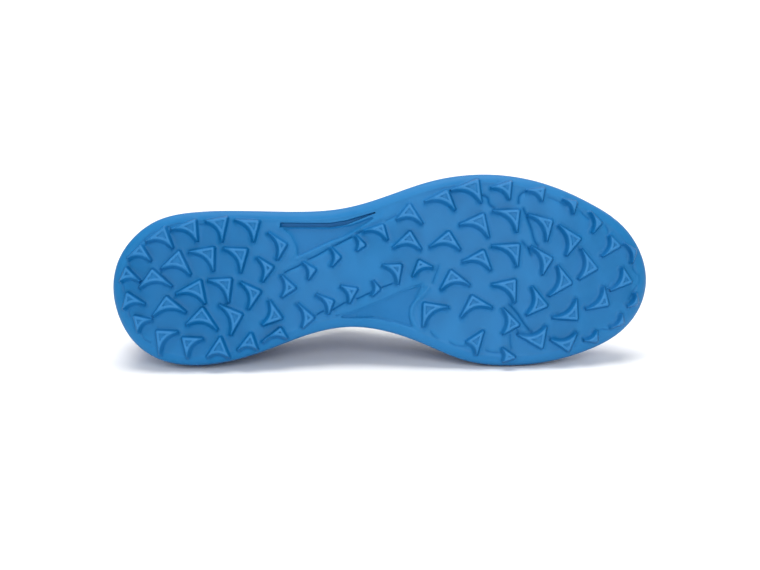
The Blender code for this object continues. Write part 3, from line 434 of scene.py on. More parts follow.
FOREFOOT_LUGS = (
    Lug((409.5, 203), (397, 218.5), (422, 223)),
    Lug((410, 231), (393, 247), (421, 249)),
    Lug((449, 231), (430, 246.5), (460, 249)),
    Lug((447.5, 189.5), (425, 201), (455, 209)),
    Lug((478.5, 178.5), (451, 189.5), (481.5, 201.5)),
    Lug((484, 213), (460, 224), (489, 236.5)),
    Lug((484, 250), (462.5, 261.5), (491, 269.5)),
    Lug((451, 270), (469.5, 284.5), (441, 289)),
    Lug((472, 295.5), (492, 307.5), (461, 317)),
    Lug((423.5, 303), (447.5, 307), (423, 327)),
    Lug((484, 331), (467, 342), (477, 355)),
    Lug((520, 325), (504, 309), (504, 334)),
    Lug((516, 358), (503, 349), (504, 363)),
    Lug((516, 279.5), (492.5, 284.5), (515.5, 302)),
    Lug((548.5, 306), (533, 287), (528, 315)),
    Lug((579, 320), (578, 300), (553.5, 318)),
    Lug((611, 305.5), (606.5, 287.5), (588, 309.5)),
    Lug((635.5, 282), (626, 268), (613, 290.5)),
    Lug((623.5, 245.5), (613, 235), (605, 256)),
    Lug((604, 222), (593, 211.5), (595, 232)),
    Lug((578.5, 201), (565, 198.5), (575, 212.5)),
    Lug((545.5, 187), (528, 190), (543, 200)),
    Lug((512, 180.5), (492, 187), (510, 198)),
    Lug((520, 209.5), (493.5, 210.5), (517.5, 231)),
    Lug((553.5, 220), (529, 214), (548, 240)),
    Lug((582.5, 238), (560.5, 225), (568, 255)),
    Lug((599.5, 268.5), (583.5, 249), (581, 279)),
    Lug((520, 244), (492.5, 245.5), (518, 266)),
    Lug((553.5, 258), (531.5, 246), (543.5, 274)),
    Lug((573.5, 283), (559.5, 266), (550.5, 296)),
    Lug((543, 349), (519, 335), (547, 327.5)),
    Lug((570, 352), (552, 340), (578, 334)),
    Lug((600, 343.5), (586, 341), (599, 332)),
    Lug((627, 324), (614, 328), (625, 315)),
    Lug((642, 304), (631, 307), (640, 294)),
    Lug((641, 249.5), (628, 243), (636, 262)),
)


def chart(points, nearness=1.0):
    """Turn chart points into the shoe's sizes."""
    centre = np.array((CHART_CENTRE, CHART_AXIS))
    points = centre + (np.array(points, float) - centre) / nearness
    x = (points[:, 0] - CHART_HEEL) / (CHART_TOE - CHART_HEEL) * LENGTH
    y = (points[:, 1] - CHART_AXIS) / CHART_BALL * BALL_WIDTH
    return np.column_stack([x, y])


def keep_inside(points, margin):
    """Move points that come too near to the outline inwards."""
    distance = edge_distance(points)
    nearest = np.linalg.norm(points[:, None] - OUTLINE_RING[None], axis=2).argmin(axis=1)
    normals = unit(OUTLINE_RING - ring(0.001))
    lack = np.clip(margin - distance, 0, None)
    return points - normals[nearest] * lack[:, None]


def turned_left(polygon):
    """The polygon with its inside on the left of its border."""
    following = np.roll(polygon, -1, axis=0)
    area = np.sum(polygon[:, 0] * following[:, 1] - following[:, 0] * polygon[:, 1])
    return polygon if area > 0 else polygon[::-1]


TIP_ROUND = 0.0007
BACK_STEPS = 11
Top = namedtuple("Top", "outline tip left right")


def lug_top(lug):
    """Outline of one lug's top with a rounded tip, and the lines of its two flanks."""
    tip, wing, other = keep_inside(chart((lug.tip, lug.wing, lug.other), CHART_NEARNESS),
                                   RIM_START + 2 * LUG_DRAFT)
    chord = other - wing
    towards = tip - (wing + other) / 2
    towards = unit(towards - chord * np.dot(towards, chord) / np.dot(chord, chord))
    depth = LUG_HOLLOW * np.linalg.norm(chord)
    t = np.linspace(0, 1, BACK_STEPS)[:, None]
    back = wing + chord * t + towards * depth * 4 * t * (1 - t)
    from_tip = (tip + unit(other - tip) * TIP_ROUND, tip + unit(wing - tip) * TIP_ROUND)
    middle = (from_tip[0] + from_tip[1] + tip) / 3
    outline = turned_left(np.vstack([middle, from_tip[1], back, from_tip[0]]))
    return Top(keep_inside(outline, RIM_START + 2 * LUG_DRAFT), tip, unit(wing - tip), unit(other - tip))


TOPS = [lug_top(lug) for lug in HEEL_LUGS + WAIST_LUGS + FOREFOOT_LUGS]
print("lugs:", len(TOPS))

# %% [markdown]
# ## Panels, grooves and ribs
#
# Between the lugs the mould leaves fine lines. A ledge runs from lug to lug round the
# tread, and the waist has two sunk panels and a slot beside the outer edge. They are
# drawn on the same chart, and each line has a width and a depth.

# %% Chart the panels and the fine lines
LATERAL_PANEL = (
    (285, 229), (330, 229.5), (352, 226), (372, 218.5), (361, 226), (346, 235),
    (329, 241), (310, 250), (299, 255), (297, 245), (292, 235),
)
LATERAL_SLOT = ((281, 223.6), (330, 223.8), (346, 221.2), (375, 212.8), (346, 224.4), (330, 227), (281, 227))
MEDIAL_PANEL = (
    (342, 316.5), (353, 313), (371, 306), (390, 298), (402, 292), (420, 286.5),
    (415, 297), (408.5, 307), (408, 317), (411, 325.5), (390, 320), (378, 317),
)
FINE = 0.00042
BROAD = 0.00070
LEDGE_WIDTH = 0.00085
GROOVE_WIDTH = 0.00120
RIB_WIDTH = 0.0018
# Columns: points on the chart, half width, depth (a rib has a negative depth)
Line = namedtuple("Line", "points width depth")
LINES = (
    Line(((200, 225), (204, 225.5), (208, 225)), LEDGE_WIDTH, FINE),
    Line(((169, 228), (175, 229), (180, 227.5)), LEDGE_WIDTH, FINE),
    Line(((146, 241), (151, 241), (157, 240)), LEDGE_WIDTH, FINE),
    Line(((127, 258), (131, 256.5), (136, 256.5)), LEDGE_WIDTH, FINE),
    Line(((133, 258), (131, 263), (131, 269)), LEDGE_WIDTH, FINE),
    Line(((126, 280), (125, 285), (126, 292)), LEDGE_WIDTH, FINE),
    Line(((131, 308), (130.5, 312), (132, 316)), LEDGE_WIDTH, FINE),
    Line(((142, 331), (146, 338), (152, 342)), LEDGE_WIDTH, FINE),
    Line(((482, 196), (486.5, 199), (488, 204), (493.5, 208.5)), GROOVE_WIDTH, BROAD),
    Line(((517.3, 204), (518, 196.8), (521, 193.5), (528, 192)), GROOVE_WIDTH, BROAD),
    Line(((547, 198), (553, 200), (560, 203.7), (565, 206)), LEDGE_WIDTH, FINE),
    Line(((580, 212), (584, 216), (588, 219)), LEDGE_WIDTH, FINE),
    Line(((605, 226), (607, 230), (608, 235)), LEDGE_WIDTH, FINE),
    Line(((630, 247), (634, 258), (634, 270), (639, 275), (639, 283), (634, 290), (630, 300)),
         LEDGE_WIDTH, FINE),
    Line(((601, 329), (611, 329.5), (620, 329)), LEDGE_WIDTH, FINE),
    Line(((430, 331), (433, 335), (437, 338)), LEDGE_WIDTH, FINE),
    Line(((449, 342), (455, 345), (462, 346)), LEDGE_WIDTH, FINE),
    Line(((485, 350), (492, 352), (500, 352)), LEDGE_WIDTH, FINE),
    Line(((522, 209), (526, 219), (530, 229), (534, 242), (537, 247)), GROOVE_WIDTH, BROAD),
    Line(((521, 242), (526, 248), (530, 255)), GROOVE_WIDTH, BROAD),
    Line(((508, 304), (515, 312), (521, 321), (530, 332)), GROOVE_WIDTH, BROAD),
    Line(((509, 333), (509, 341), (510, 348)), LEDGE_WIDTH, FINE),
    Line(((438, 266), (435, 275), (432, 283)), LEDGE_WIDTH, FINE),
    Line(((285, 273), (291, 269.5), (300, 265), (303, 262)), LEDGE_WIDTH, BROAD),
    Line(((309, 259.5), (316, 256), (324, 251.5), (329, 248.5)), LEDGE_WIDTH, BROAD),
    Line(((334, 246), (340, 243), (347, 239.5), (353, 236.5)), LEDGE_WIDTH, BROAD),
    Line(((356, 234), (360, 232.3), (364, 231)), LEDGE_WIDTH, BROAD),
    Line(((316, 315), (320, 312.5), (324, 310.5)), LEDGE_WIDTH, BROAD),
    Line(((332, 310), (337, 307), (343, 303.5), (348, 301)), LEDGE_WIDTH, BROAD),
    Line(((357, 298.5), (362, 296.5), (367, 294), (371, 292.5)), LEDGE_WIDTH, BROAD),
    Line(((381, 287.5), (387, 285.5), (393, 283)), LEDGE_WIDTH, BROAD),
    Line(((386, 221), (391, 218.5), (396, 216)), LEDGE_WIDTH, FINE),
    Line(((281, 227), (289, 232), (294.5, 240), (296, 249), (291, 258)), RIB_WIDTH, -FINE),
    Line(((297, 259), (310, 253), (330, 244), (345, 237.5), (360, 228.5), (375, 221.5), (383, 216)),
         RIB_WIDTH, -FINE),
    Line(((336, 315.5), (352, 311.5), (370, 304.5), (390, 296), (400, 291), (420, 284)), LEDGE_WIDTH, FINE),
    Line(((428, 288), (420, 297), (413, 305), (411, 313), (413, 321), (419, 329)), RIB_WIDTH, -BROAD),
    Line(((345, 318), (360, 317.5), (378, 318), (390, 321)), LEDGE_WIDTH, FINE),
)


def even_steps(points, spacing, closed=False):
    """The same path with its points at even steps."""
    path = np.vstack([points, points[:1]]) if closed else points
    length = path_lengths(path)
    count = max(2, round(length[-1] / spacing))
    where = np.linspace(0, length[-1], count, endpoint=not closed)
    return np.column_stack([np.interp(where, length, path[:, axis]) for axis in range(path.shape[1])])


# Columns: outline, depth, width of its wall
SINKS = [(turned_left(chart(LATERAL_PANEL)), PANEL_DEPTH, LUG_DRAFT),
         (turned_left(chart(LATERAL_SLOT)), SLOT_DEPTH, LUG_DRAFT / 2),
         (turned_left(chart(MEDIAL_PANEL)), PANEL_DEPTH, LUG_DRAFT)]
STROKES = []
for line in LINES:
    knots = chart(line.points)
    where = path_lengths(knots)
    steps = np.linspace(0, where[-1], max(3, round(where[-1] / 0.0007)))
    smooth_path = np.column_stack([cubic(where, knots[:, axis])(steps) for axis in (0, 1)])
    STROKES.append((smooth_path, line.width, line.depth))
print("fine lines:", len(STROKES))

# %% [markdown]
# ## The tread as one relief
#
# Every mark is a height over the sole's plan, so the tread is one relief. Each lug wall
# starts in a small fillet and ends in a rounded rim, because a mould is milled and
# rubber keeps no knife edge. The top of a lug is a raised rim round a shallow sink.

# %% Work out the tread's height
BACK_LEAN = 1.9
BACK_REACH = 0.0015
# Columns: signed distance from the lug's top edge, share of the lug's height
WALL_PROFILE = np.array(((-1.35, 0.0), (-1.05, 0.035), (-0.82, 0.16),
                         (-0.10, 0.93), (0.08, 0.99), (0.30, 1.0)))
WALL_AT = WALL_PROFILE[:, 0] / 1000
WALL_SHARE = WALL_PROFILE[:, 1]
SINK_START = 0.00120
SINK_END = 0.00150
SINK_DEPTH = 0.00060
STEP_SHARE = 0.35
WING_DROP = 0.0009
WING_SPAN = 0.0075


def near_box(points, polygon, margin):
    low = polygon.min(axis=0) - margin
    high = polygon.max(axis=0) + margin
    return np.nonzero(np.all((points > low) & (points < high), axis=1))[0]


def wedge(points, top):
    """How far inside both flank lines each point lies, behind the tip."""
    to = points - top.tip
    inner = []
    for along, across in ((top.left, top.right), (top.right, top.left)):
        normal = np.array((-along[1], along[0]))
        normal = normal if np.dot(normal, across) > 0 else -normal
        inner.append(to @ normal)
    return np.minimum(*inner)


def lean(points, top):
    """How much wider the wall is than a flank's: more at the hollow back."""
    return 1 + (BACK_LEAN - 1) * smooth(wedge(points, top) / BACK_REACH)


def tread(points):
    """Height of the tread, painted shade on walls, painted highlight on lug tops, and the share of sinks and
    grooves (depth and painted shade) at each plan point.
    """
    edge = edge_distance(points)
    plain = tread_height(points[:, 0], edge)
    floor = plain - STEP_SHARE * TREAD_STEP * smooth((STEP_INSET + TREAD_STEP - edge) / TREAD_STEP)
    hollow = np.zeros(len(points))
    for polygon, depth, draft in SINKS:
        chosen = near_box(points, polygon, 2 * draft)
        distance, inside = polygon_distance(points[chosen], polygon)
        share = smooth(1 - np.where(inside, 0, distance) / draft)
        # The sinks' share sets their real depth below and is also painted shade in the rubber's colour
        hollow[chosen] = np.maximum(hollow[chosen], share * depth / SLOT_DEPTH)
    floor += SLOT_DEPTH * hollow
    for path, width, depth in STROKES:
        chosen = near_box(points, path, width)
        to = np.linalg.norm(points[chosen][:, None] - path[None], axis=2).min(axis=1)
        bump = 0.5 * (1 + np.cos(np.pi * np.clip(to / width, 0, 1)))
        floor[chosen] += depth * bump
        # Grooves add only painted shade to this share; ribs add none
        hollow[chosen] = np.maximum(hollow[chosen], bump * max(depth, 0) / BROAD)
    height = floor.copy()
    painted_crown_highlight = np.zeros(len(points))
    wall = np.zeros(len(points))
    for top in TOPS:
        chosen = near_box(points, top.outline, 0.0035)
        part = points[chosen]
        distance, inside = polygon_distance(part, top.outline)
        signed = np.where(inside, distance, -distance / lean(part, top))
        share = np.interp(signed, WALL_AT, WALL_SHARE)
        sink = SINK_DEPTH * smooth((signed - SINK_START) / (SINK_END - SINK_START))
        far = np.linalg.norm(part - top.tip, axis=1)
        drop = WING_DROP * smooth((far - WING_SPAN) / WING_SPAN)
        height[chosen] += (plain[chosen] - LUG_HEIGHT + sink + drop - height[chosen]) * share
        # Painted shade: the lug's wall goes dark in the colour, and so does the small wall round the sink in
        # its top
        dark = np.interp(signed, (*WALL_AT, SINK_START, SINK_END, SINK_END + 0.0003),
                         (0.0, 0.6, 1.0, 1.0, 0.0, 0.0, 0.0, 0.7, 0.35))
        wall[chosen] = np.maximum(wall[chosen], dark)
        # Painted highlight over each lug top, brightest in a band just inside its edge and gone in the sink
        rim = 0.5 + 0.5 * np.exp(-((signed - 0.0003) / 0.0004) ** 2)
        light = smooth((signed + 0.0001) / 0.0003) * rim * (1 - sink / SINK_DEPTH)
        painted_crown_highlight[chosen] = np.maximum(painted_crown_highlight[chosen], light)
    return height, wall, painted_crown_highlight, hollow


print("tread relief ready")

# %% [markdown]
# ## The outsole's mesh
#
# Points lie close together where the relief turns and far apart on plain floor. A
# constrained triangulation joins them in plan, and the relief then lifts them. The cup's
# side, its top edge and the footbed inside close the solid, as in the moulded part.

# %% Build the outsole
CONTOUR_STEP = 0.00055
CONTOURS = (-1.30, -1.02, -0.80, -0.10, 0.08, 0.30)
RING_INSETS = (0.0006, 0.0010, 0.0015, 0.0021, 0.0028, 0.0036, 0.0044, 0.0050, 0.0053, 0.0056)
FLOOR_GRID = 0.00115
LUG_GRID = 0.00045
CLEARING = 0.00030


def offset(polygon, distance, factor=None):
    """The closed border moved outwards by a distance, with arcs at its outer corners."""
    before = unit(polygon - np.roll(polygon, 1, axis=0))
    after = unit(np.roll(polygon, -1, axis=0) - polygon)
    out = []
    for i, (point, a, b) in enumerate(zip(polygon, before, after)):
        reach = distance * (factor[i] if factor is not None else 1.0)
        first = np.array((a[1], -a[0]))
        second = np.array((b[1], -b[0]))
        turn = math.atan2(a[0] * b[1] - a[1] * b[0], float(a @ b))
        count = max(1, math.ceil(abs(turn) / 0.45)) if turn * distance > 0.2 * abs(distance) else 0
        if count == 0:
            out.append(point + unit(first + second) * reach)
        for k in range(count + 1 if count else 0):
            out.append(point + unit(first * (count - k) + second * k) * reach)
    return np.array(out)


def hexagonal(low, high, spacing):
    rows = np.arange(low[1], high[1], spacing * math.sqrt(3) / 2)
    columns = np.arange(low[0], high[0], spacing)
    grid = [np.column_stack([columns + (spacing / 2 if i % 2 else 0.0), np.full(len(columns), row)])
            for i, row in enumerate(rows)]
    return np.vstack(grid)


def away_from(points, others, reach):
    """Those points that have no other point within reach."""
    cells = {}
    for x, y in np.floor(others / reach).astype(int):
        cells.setdefault((x, y), True)
    keys = np.floor(points / reach).astype(int)
    near = np.zeros(len(points), bool)
    for dx in (-1, 0, 1):
        for dy in (-1, 0, 1):
            near |= np.array([(x + dx, y + dy) in cells for x, y in keys])
    return points[~near]


def plan_mesh(points, loops, border):
    """Triangulate points in plan, keeping the loops' edges, inside the border loop."""
    edges = [(loop[i], loop[(i + 1) % len(loop)]) for loop in loops for i in range(len(loop))]
    result = delaunay_2d_cdt([Vector(p) * 1000 for p in points], edges, [], 0, 0.02, True)
    found = np.array([tuple(v) for v in result[0]]) / 1000
    place = {old: new for new, olds in enumerate(result[3]) for old in olds}
    rim = [place[i] for i in border]
    triangles = np.array(result[2])
    inside = polygon_distance(found[triangles].mean(axis=1), found[rim])[1]
    triangles = triangles[inside]
    used, triangles = np.unique(triangles, return_inverse=True)
    number = {old: new for new, old in enumerate(used)}
    return found[used], triangles.reshape(-1, 3), [number[v] for v in rim]


def tread_plan():
    """All plan points of the tread and the loops whose edges are kept."""
    contours = [ring(inset) for inset in RING_INSETS]
    for top in TOPS:
        fine = even_steps(top.outline, CONTOUR_STEP, closed=True)
        factor = lean(fine, top)
        for distance in CONTOURS:
            if distance < 0:
                contours.append(offset(fine, -distance / 1000, factor))
        contours.append(fine)
    for polygon, _, draft in SINKS:
        fine = even_steps(polygon, 2 * CONTOUR_STEP, closed=True)
        contours += [fine, offset(fine, draft / 2), offset(fine, draft)]
    loops = []
    first = 0
    for contour in contours:
        loops.append(list(range(first, first + len(contour))))
        first += len(contour)
    fixed = np.vstack(contours)
    extra = []
    for path, width, _ in STROKES:
        along = unit(np.gradient(path, axis=0))
        normal = np.column_stack([-along[:, 1], along[:, 0]])
        extra += [path + normal * width * share for share in (-1.0, -0.5, 0.0, 0.5, 1.0)]
    extra = away_from(np.vstack(extra), fixed, CLEARING)
    low = OUTLINE_RING.min(axis=0)
    high = OUTLINE_RING.max(axis=0)
    inner = hexagonal(low, high, LUG_GRID)
    keep = np.zeros(len(inner), bool)
    for top in TOPS:
        chosen = near_box(inner, top.outline, 0.0)
        distance, inside = polygon_distance(inner[chosen], top.outline)
        keep[chosen] |= inside
    inner = away_from(inner[keep], fixed, CLEARING)
    fine_points = np.vstack([fixed, extra, inner])
    floor = hexagonal(low, high, FLOOR_GRID)
    floor = floor[edge_distance(floor) > RING_INSETS[-1]]
    floor = away_from(floor, fine_points, FLOOR_GRID / 2)
    return np.vstack([fine_points, floor]), loops


def strip(first, second):
    """Quads between two closed rows of the same length."""
    count = len(first)
    return [(first[i], first[(i + 1) % count], second[(i + 1) % count], second[i]) for i in range(count)]


def laid_mesh(name, vertices, faces, materials, angle=40):
    """Mesh in the lying shoe's frame, closed and facing outwards."""
    placed = np.array(vertices, float) @ np.array(LAY.to_3x3()).T + np.array(LAY.translation)
    mesh = bpy.data.meshes.new(name)
    mesh.from_pydata(placed.tolist(), [], [tuple(int(v) for v in face) for face in faces])
    form = bmesh.new()
    form.from_mesh(mesh)
    bmesh.ops.recalc_face_normals(form, faces=form.faces)
    if form.calc_volume(signed=True) < 0:
        bmesh.ops.reverse_faces(form, faces=form.faces)
    form.to_mesh(mesh)
    form.free()
    for material in materials:
        mesh.materials.append(material)
    mesh.shade_smooth()
    mesh.set_sharp_from_angle(angle=math.radians(angle))
    return mesh


# Columns: inset from the outline, share of the way from the tread's border to the cup's top
SIDE_ROWS = (
    (0.00038, 0.03), (0.00018, 0.07), (0.0, 0.14), (0.0, 0.37), (0.0001, 0.395), (0.0004, 0.413),
    (0.00078, 0.432), (0.0009, 0.45), (0.0009, 0.515), (0.00078, 0.535), (0.00055, 0.55), (0.00035, 0.57),
    (0.0003, 0.60), (0.0005, 0.80), (0.0008, 0.92), (0.0011, 0.965), (0.0015, 0.99), (0.0020, 1.0),
    (0.0034, 1.0), (0.0039, 0.992), (0.0042, 0.97),
)


def build_outsole(material):
    points, loops = tread_plan()
    plan, triangles, rim = plan_mesh(points, loops, loops[0])
    height, wall, painted_crown_highlight, hollow = tread(plan)
    vertices = [np.column_stack([plan, height])]
    faces = [tuple(face) for face in triangles]
    row = rim
    total = len(plan)
    border = ring(0.0)
    bottom = tread_height(border[:, 0], np.full(RING_POINTS, RIM_START))
    top = cup_height(border[:, 0])
    for inset, share in SIDE_ROWS:
        vertices.append(np.column_stack([ring(inset), bottom + (top - bottom) * share]))
        new_row = list(range(total, total + RING_POINTS))
        faces += strip(row, new_row)
        row = new_row
        total += RING_POINTS
    bed = ring(CUP_WALL)
    vertices.append(np.column_stack([bed, footbed_height(bed[:, 0])]))
    new_row = list(range(total, total + RING_POINTS))
    faces += strip(row, new_row)
    _, cap_faces, cap_rim = plan_mesh(bed, [list(range(RING_POINTS))], list(range(RING_POINTS)))
    back = {new: new_row[old] for old, new in enumerate(cap_rim)}
    faces += [tuple(back[v] for v in face) for face in cap_faces]
    mesh = laid_mesh("outsole_look", np.vstack(vertices), faces, [material], 50)
    # The relief attribute holds painted light: red is painted shade on walls, green a painted highlight on
    # lug tops, blue painted shade in sinks and grooves, and alpha the place along the shoe for the heel's
    # painted shade
    relief = mesh.attributes.new("relief", "FLOAT_COLOR", "POINT")
    values = np.zeros((len(mesh.vertices), 4))
    values[:len(plan)] = np.column_stack([wall, painted_crown_highlight, hollow, plan[:, 0] / LENGTH])
    values[len(plan):, 3] = np.vstack(vertices)[len(plan):, 0] / LENGTH
    relief.data.foreach_set("color", values.ravel())
    return link("outsole_look", mesh)


# %% [markdown]
# ## Rubber
#
# Moulded rubber is matt with a soft sheen. The colour is one pigment. Walls, sinks and
# grooves get painted shade, so does the heel, and the rims of the lugs get a painted
# highlight. A very fine grain breaks up the highlight.

# %% Mix the rubber
# The floor colour is the rubber's own. The next three are painted light: shade for walls, sinks and grooves,
# a highlight for lug tops, and shade at the heel. The wall and crown colours also tint the random mottle.
RUBBER_FLOOR = (0.013, 0.160, 0.390)
RUBBER_SHADE_AND_MOTTLE = (0.001, 0.110, 0.310)
RUBBER_HIGHLIGHT_AND_MOTTLE = (0.048, 0.212, 0.480)
RUBBER_HEEL_SHADE = (0.006, 0.146, 0.368)


def node(tree, kind, inputs=None, **settings):
    """Add one shader node, set its properties and plug in its inputs."""
    made = tree.nodes.new(kind)
    for key, value in settings.items():
        setattr(made, key, value)
    for key, value in (inputs or {}).items():
        if isinstance(value, bpy.types.NodeSocket):
            tree.links.new(value, made.inputs[key])
        else:
            made.inputs[key].default_value = value
    return made


def noise(tree, scale, detail, coordinates):
    made = node(tree, "ShaderNodeTexNoise", {"Scale": scale, "Detail": detail, "Vector": coordinates})
    return made.outputs["Fac"]


def blend_colour(tree, share, first, second):
    """Mix two colours or colour sockets by a share."""
    mixed = node(tree, "ShaderNodeMix", data_type="RGBA")
    for index, value in ((0, share), (6, first), (7, second)):
        if isinstance(value, bpy.types.NodeSocket):
            tree.links.new(value, mixed.inputs[index])
        else:
            mixed.inputs[index].default_value = (*value, 1.0) if index else value
    return mixed.outputs[2]


def scaled(tree, value, low, high, to_low, to_high):
    ranged = node(tree, "ShaderNodeMapRange", {"Value": value, "From Min": low, "From Max": high,
                                               "To Min": to_low, "To Max": to_high})
    return ranged.outputs["Result"]


def bumped(tree, layers):
    """Bump from several heights: each layer is a socket, a distance and a strength."""
    normal = None
    for height, distance, strength in layers:
        inputs = {"Height": height, "Distance": distance, "Strength": strength}
        if normal is not None:
            inputs["Normal"] = normal
        normal = node(tree, "ShaderNodeBump", inputs).outputs["Normal"]
    return normal


def new_material(name):
    material = bpy.data.materials.new(name)
    material.use_nodes = True
    tree = material.node_tree
    shader = tree.nodes["Principled BSDF"]
    coordinates = node(tree, "ShaderNodeTexCoord").outputs["Object"]
    return material, tree, shader, coordinates


def mix_rubber():
    material, tree, shader, coordinates = new_material("blue rubber")
    relief = node(tree, "ShaderNodeAttribute", attribute_name="relief")
    parts = node(tree, "ShaderNodeSeparateColor", {"Color": relief.outputs["Color"]}).outputs
    # Painted shade: the heel end is darker than the forefoot
    heel = scaled(tree, relief.outputs["Alpha"], 0.20, 0.52, 1.0, 0.0)
    colour = blend_colour(tree, heel, RUBBER_FLOOR, RUBBER_HEEL_SHADE)
    mottle = noise(tree, 260.0, 4.0, coordinates)
    cloud = noise(tree, 38.0, 3.0, coordinates)
    # Painted shade in sinks and grooves (blue) and on walls (red), painted highlight on lug tops (green)
    colour = blend_colour(tree, scaled(tree, parts["Blue"], 0.0, 1.0, 0.0, 1.0), colour, RUBBER_SHADE_AND_MOTTLE)
    colour = blend_colour(tree, scaled(tree, parts["Red"], 0.0, 1.0, 0.0, 0.85), colour, RUBBER_SHADE_AND_MOTTLE)
    colour = blend_colour(tree, scaled(tree, parts["Green"], 0.0, 1.0, 0.0, 0.60), colour, RUBBER_HIGHLIGHT_AND_MOTTLE)
    # Random mottle: lighter and darker patches of the rubber itself
    lighter = blend_colour(tree, 0.35, colour, RUBBER_HIGHLIGHT_AND_MOTTLE)
    darker = blend_colour(tree, 0.30, colour, RUBBER_SHADE_AND_MOTTLE)
    colour = blend_colour(tree, scaled(tree, mottle, 0.35, 0.65, 0.0, 0.35), colour, darker)
    colour = blend_colour(tree, scaled(tree, cloud, 0.40, 0.62, 0.0, 0.35), colour, lighter)
    # More painted shade where sinks and grooves are deepest
    colour = blend_colour(tree, scaled(tree, parts["Blue"], 0.55, 1.0, 0.0, 1.0), colour, RUBBER_SHADE_AND_MOTTLE)
    tree.links.new(colour, shader.inputs["Base Color"])
    tree.links.new(scaled(tree, cloud, 0.3, 0.7, 0.46, 0.58), shader.inputs["Roughness"])
    shader.inputs["Specular IOR Level"].default_value = 0.15
    shader.inputs["Coat Weight"].default_value = 0.03
    shader.inputs["Coat Roughness"].default_value = 0.35
    fine = noise(tree, 2600.0, 3.0, coordinates)
    normal = bumped(tree, ((mottle, 0.00012, 0.35), (fine, 0.00004, 0.35)))
    tree.links.new(normal, shader.inputs["Normal"])
    return material


rubber = mix_rubber()
outsole = build_outsole(rubber)
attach(outsole, "root")
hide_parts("outsole")
print("outsole:", len(outsole.data.polygons), "triangles")

# %% [markdown]
# ## The last's surface
#
# An upper is pulled over a last, the solid form of a foot. Each line from the sole's
# edge up to the collar, the throat or the ridge of the vamp is one smooth curve, and its
# bends give the full heel, the narrow waist and the round toe.

# %% Draw the last
WALL = 0.0020
OVERLAY = 0.0008
COLLAR_PAD = 0.0040
GAP = 0.0003
SOFT_GAP = 0.0005
INSOLE_GAP = 0.0010
INSOLE_THICKNESS = 0.0040
HEEL_HEIGHT = 0.084
INSTEP_HEIGHT = 0.086
# Columns: way along the side from heel to toe, place along LENGTH, middle and half gap
# in BALL_WIDTH, and height in HEEL_HEIGHT and INSTEP_HEIGHT
TopRow = namedtuple("TopRow", "way along middle half heel instep")
COLLAR_AND_THROAT = (
    TopRow(0.000, 0.036, 0.012, 0.000, 1.000, 0.000),
    TopRow(0.060, 0.048, 0.010, 0.130, 0.985, 0.000),
    TopRow(0.120, 0.084, 0.010, 0.228, 0.935, 0.000),
    TopRow(0.200, 0.150, 0.010, 0.298, 0.850, 0.000),
    TopRow(0.280, 0.225, -0.008, 0.298, 0.795, 0.000),
    TopRow(0.360, 0.305, -0.032, 0.240, 0.835, 0.000),
    TopRow(0.430, 0.370, -0.042, 0.180, 0.460, 0.480),
    TopRow(0.470, 0.405, -0.045, 0.155, 0.000, 1.000),
    TopRow(0.540, 0.470, -0.048, 0.145, 0.000, 0.930),
    TopRow(0.610, 0.535, -0.052, 0.130, 0.000, 0.840),
    TopRow(0.670, 0.595, -0.055, 0.108, 0.000, 0.757),
    TopRow(0.712, 0.636, -0.057, 0.074, 0.000, 0.704),
    TopRow(0.735, 0.655, -0.058, 0.034, 0.000, 0.681),
    TopRow(0.745, 0.660, -0.058, 0.000, 0.000, 0.675),
)
RIDGE = (
    TopRow(0.745, 0.660, -0.058, 0.000, 0.000, 0.675),
    TopRow(0.800, 0.725, -0.055, 0.000, 0.000, 0.608),
    TopRow(0.870, 0.810, -0.043, 0.000, 0.000, 0.520),
    TopRow(0.940, 0.890, -0.030, 0.000, 0.000, 0.430),
    TopRow(1.000, 0.940, -0.020, 0.000, 0.000, 0.368),
)
VAMP_WAY = COLLAR_AND_THROAT[-1].way

# How each rib line of the last leaves the sole and reaches the top line. Shares of the
# line's own height and width, and the heading at its top: 0 heel, 90 side, 180 toe
Bend = namedtuple("Bend", "way rise bulge reach drop turn")
BENDS = (
    Bend(0.000, 0.38, 0.050, 0.25, 0.34, 0),
    Bend(0.060, 0.38, 0.050, 0.35, 0.34, 25),
    Bend(0.120, 0.38, 0.034, 0.40, 0.34, 60),
    Bend(0.200, 0.38, 0.018, 0.34, 0.34, 84),
    Bend(0.280, 0.38, 0.026, 0.40, 0.34, 90),
    Bend(0.360, 0.38, 0.042, 0.55, 0.33, 90),
    Bend(0.470, 0.40, 0.048, 0.68, 0.28, 90),
    Bend(0.540, 0.40, 0.048, 0.68, 0.22, 90),
    Bend(0.610, 0.42, 0.050, 0.65, 0.16, 90),
    Bend(0.670, 0.44, 0.052, 0.60, 0.11, 90),
    Bend(0.745, 0.46, 0.055, 0.58, 0.04, 90),
    Bend(0.800, 0.47, 0.058, 0.58, 0.00, 90),
    Bend(0.870, 0.48, 0.058, 0.58, 0.00, 92),
    Bend(0.940, 0.50, 0.055, 0.55, 0.00, 125),
    Bend(1.000, 0.52, 0.050, 0.50, 0.00, 180),
)

# Upper edge of the heel counter, foxing and toe guard, as a share of the way up
GuardRow = namedtuple("GuardRow", "way up")
GUARD_LINE = (
    GuardRow(0.00, 0.42), GuardRow(0.10, 0.40), GuardRow(0.19, 0.30), GuardRow(0.28, 0.17),
    GuardRow(0.42, 0.11), GuardRow(0.60, 0.12), GuardRow(0.74, 0.17), GuardRow(0.82, 0.27),
    GuardRow(0.88, 0.45), GuardRow(0.93, 0.66), GuardRow(1.00, 0.75),
)
COLLAR_PAD_END = 0.39
FACING_LINE = 0.80
FACING_END = 0.772
STEP_WIDTH = 0.012


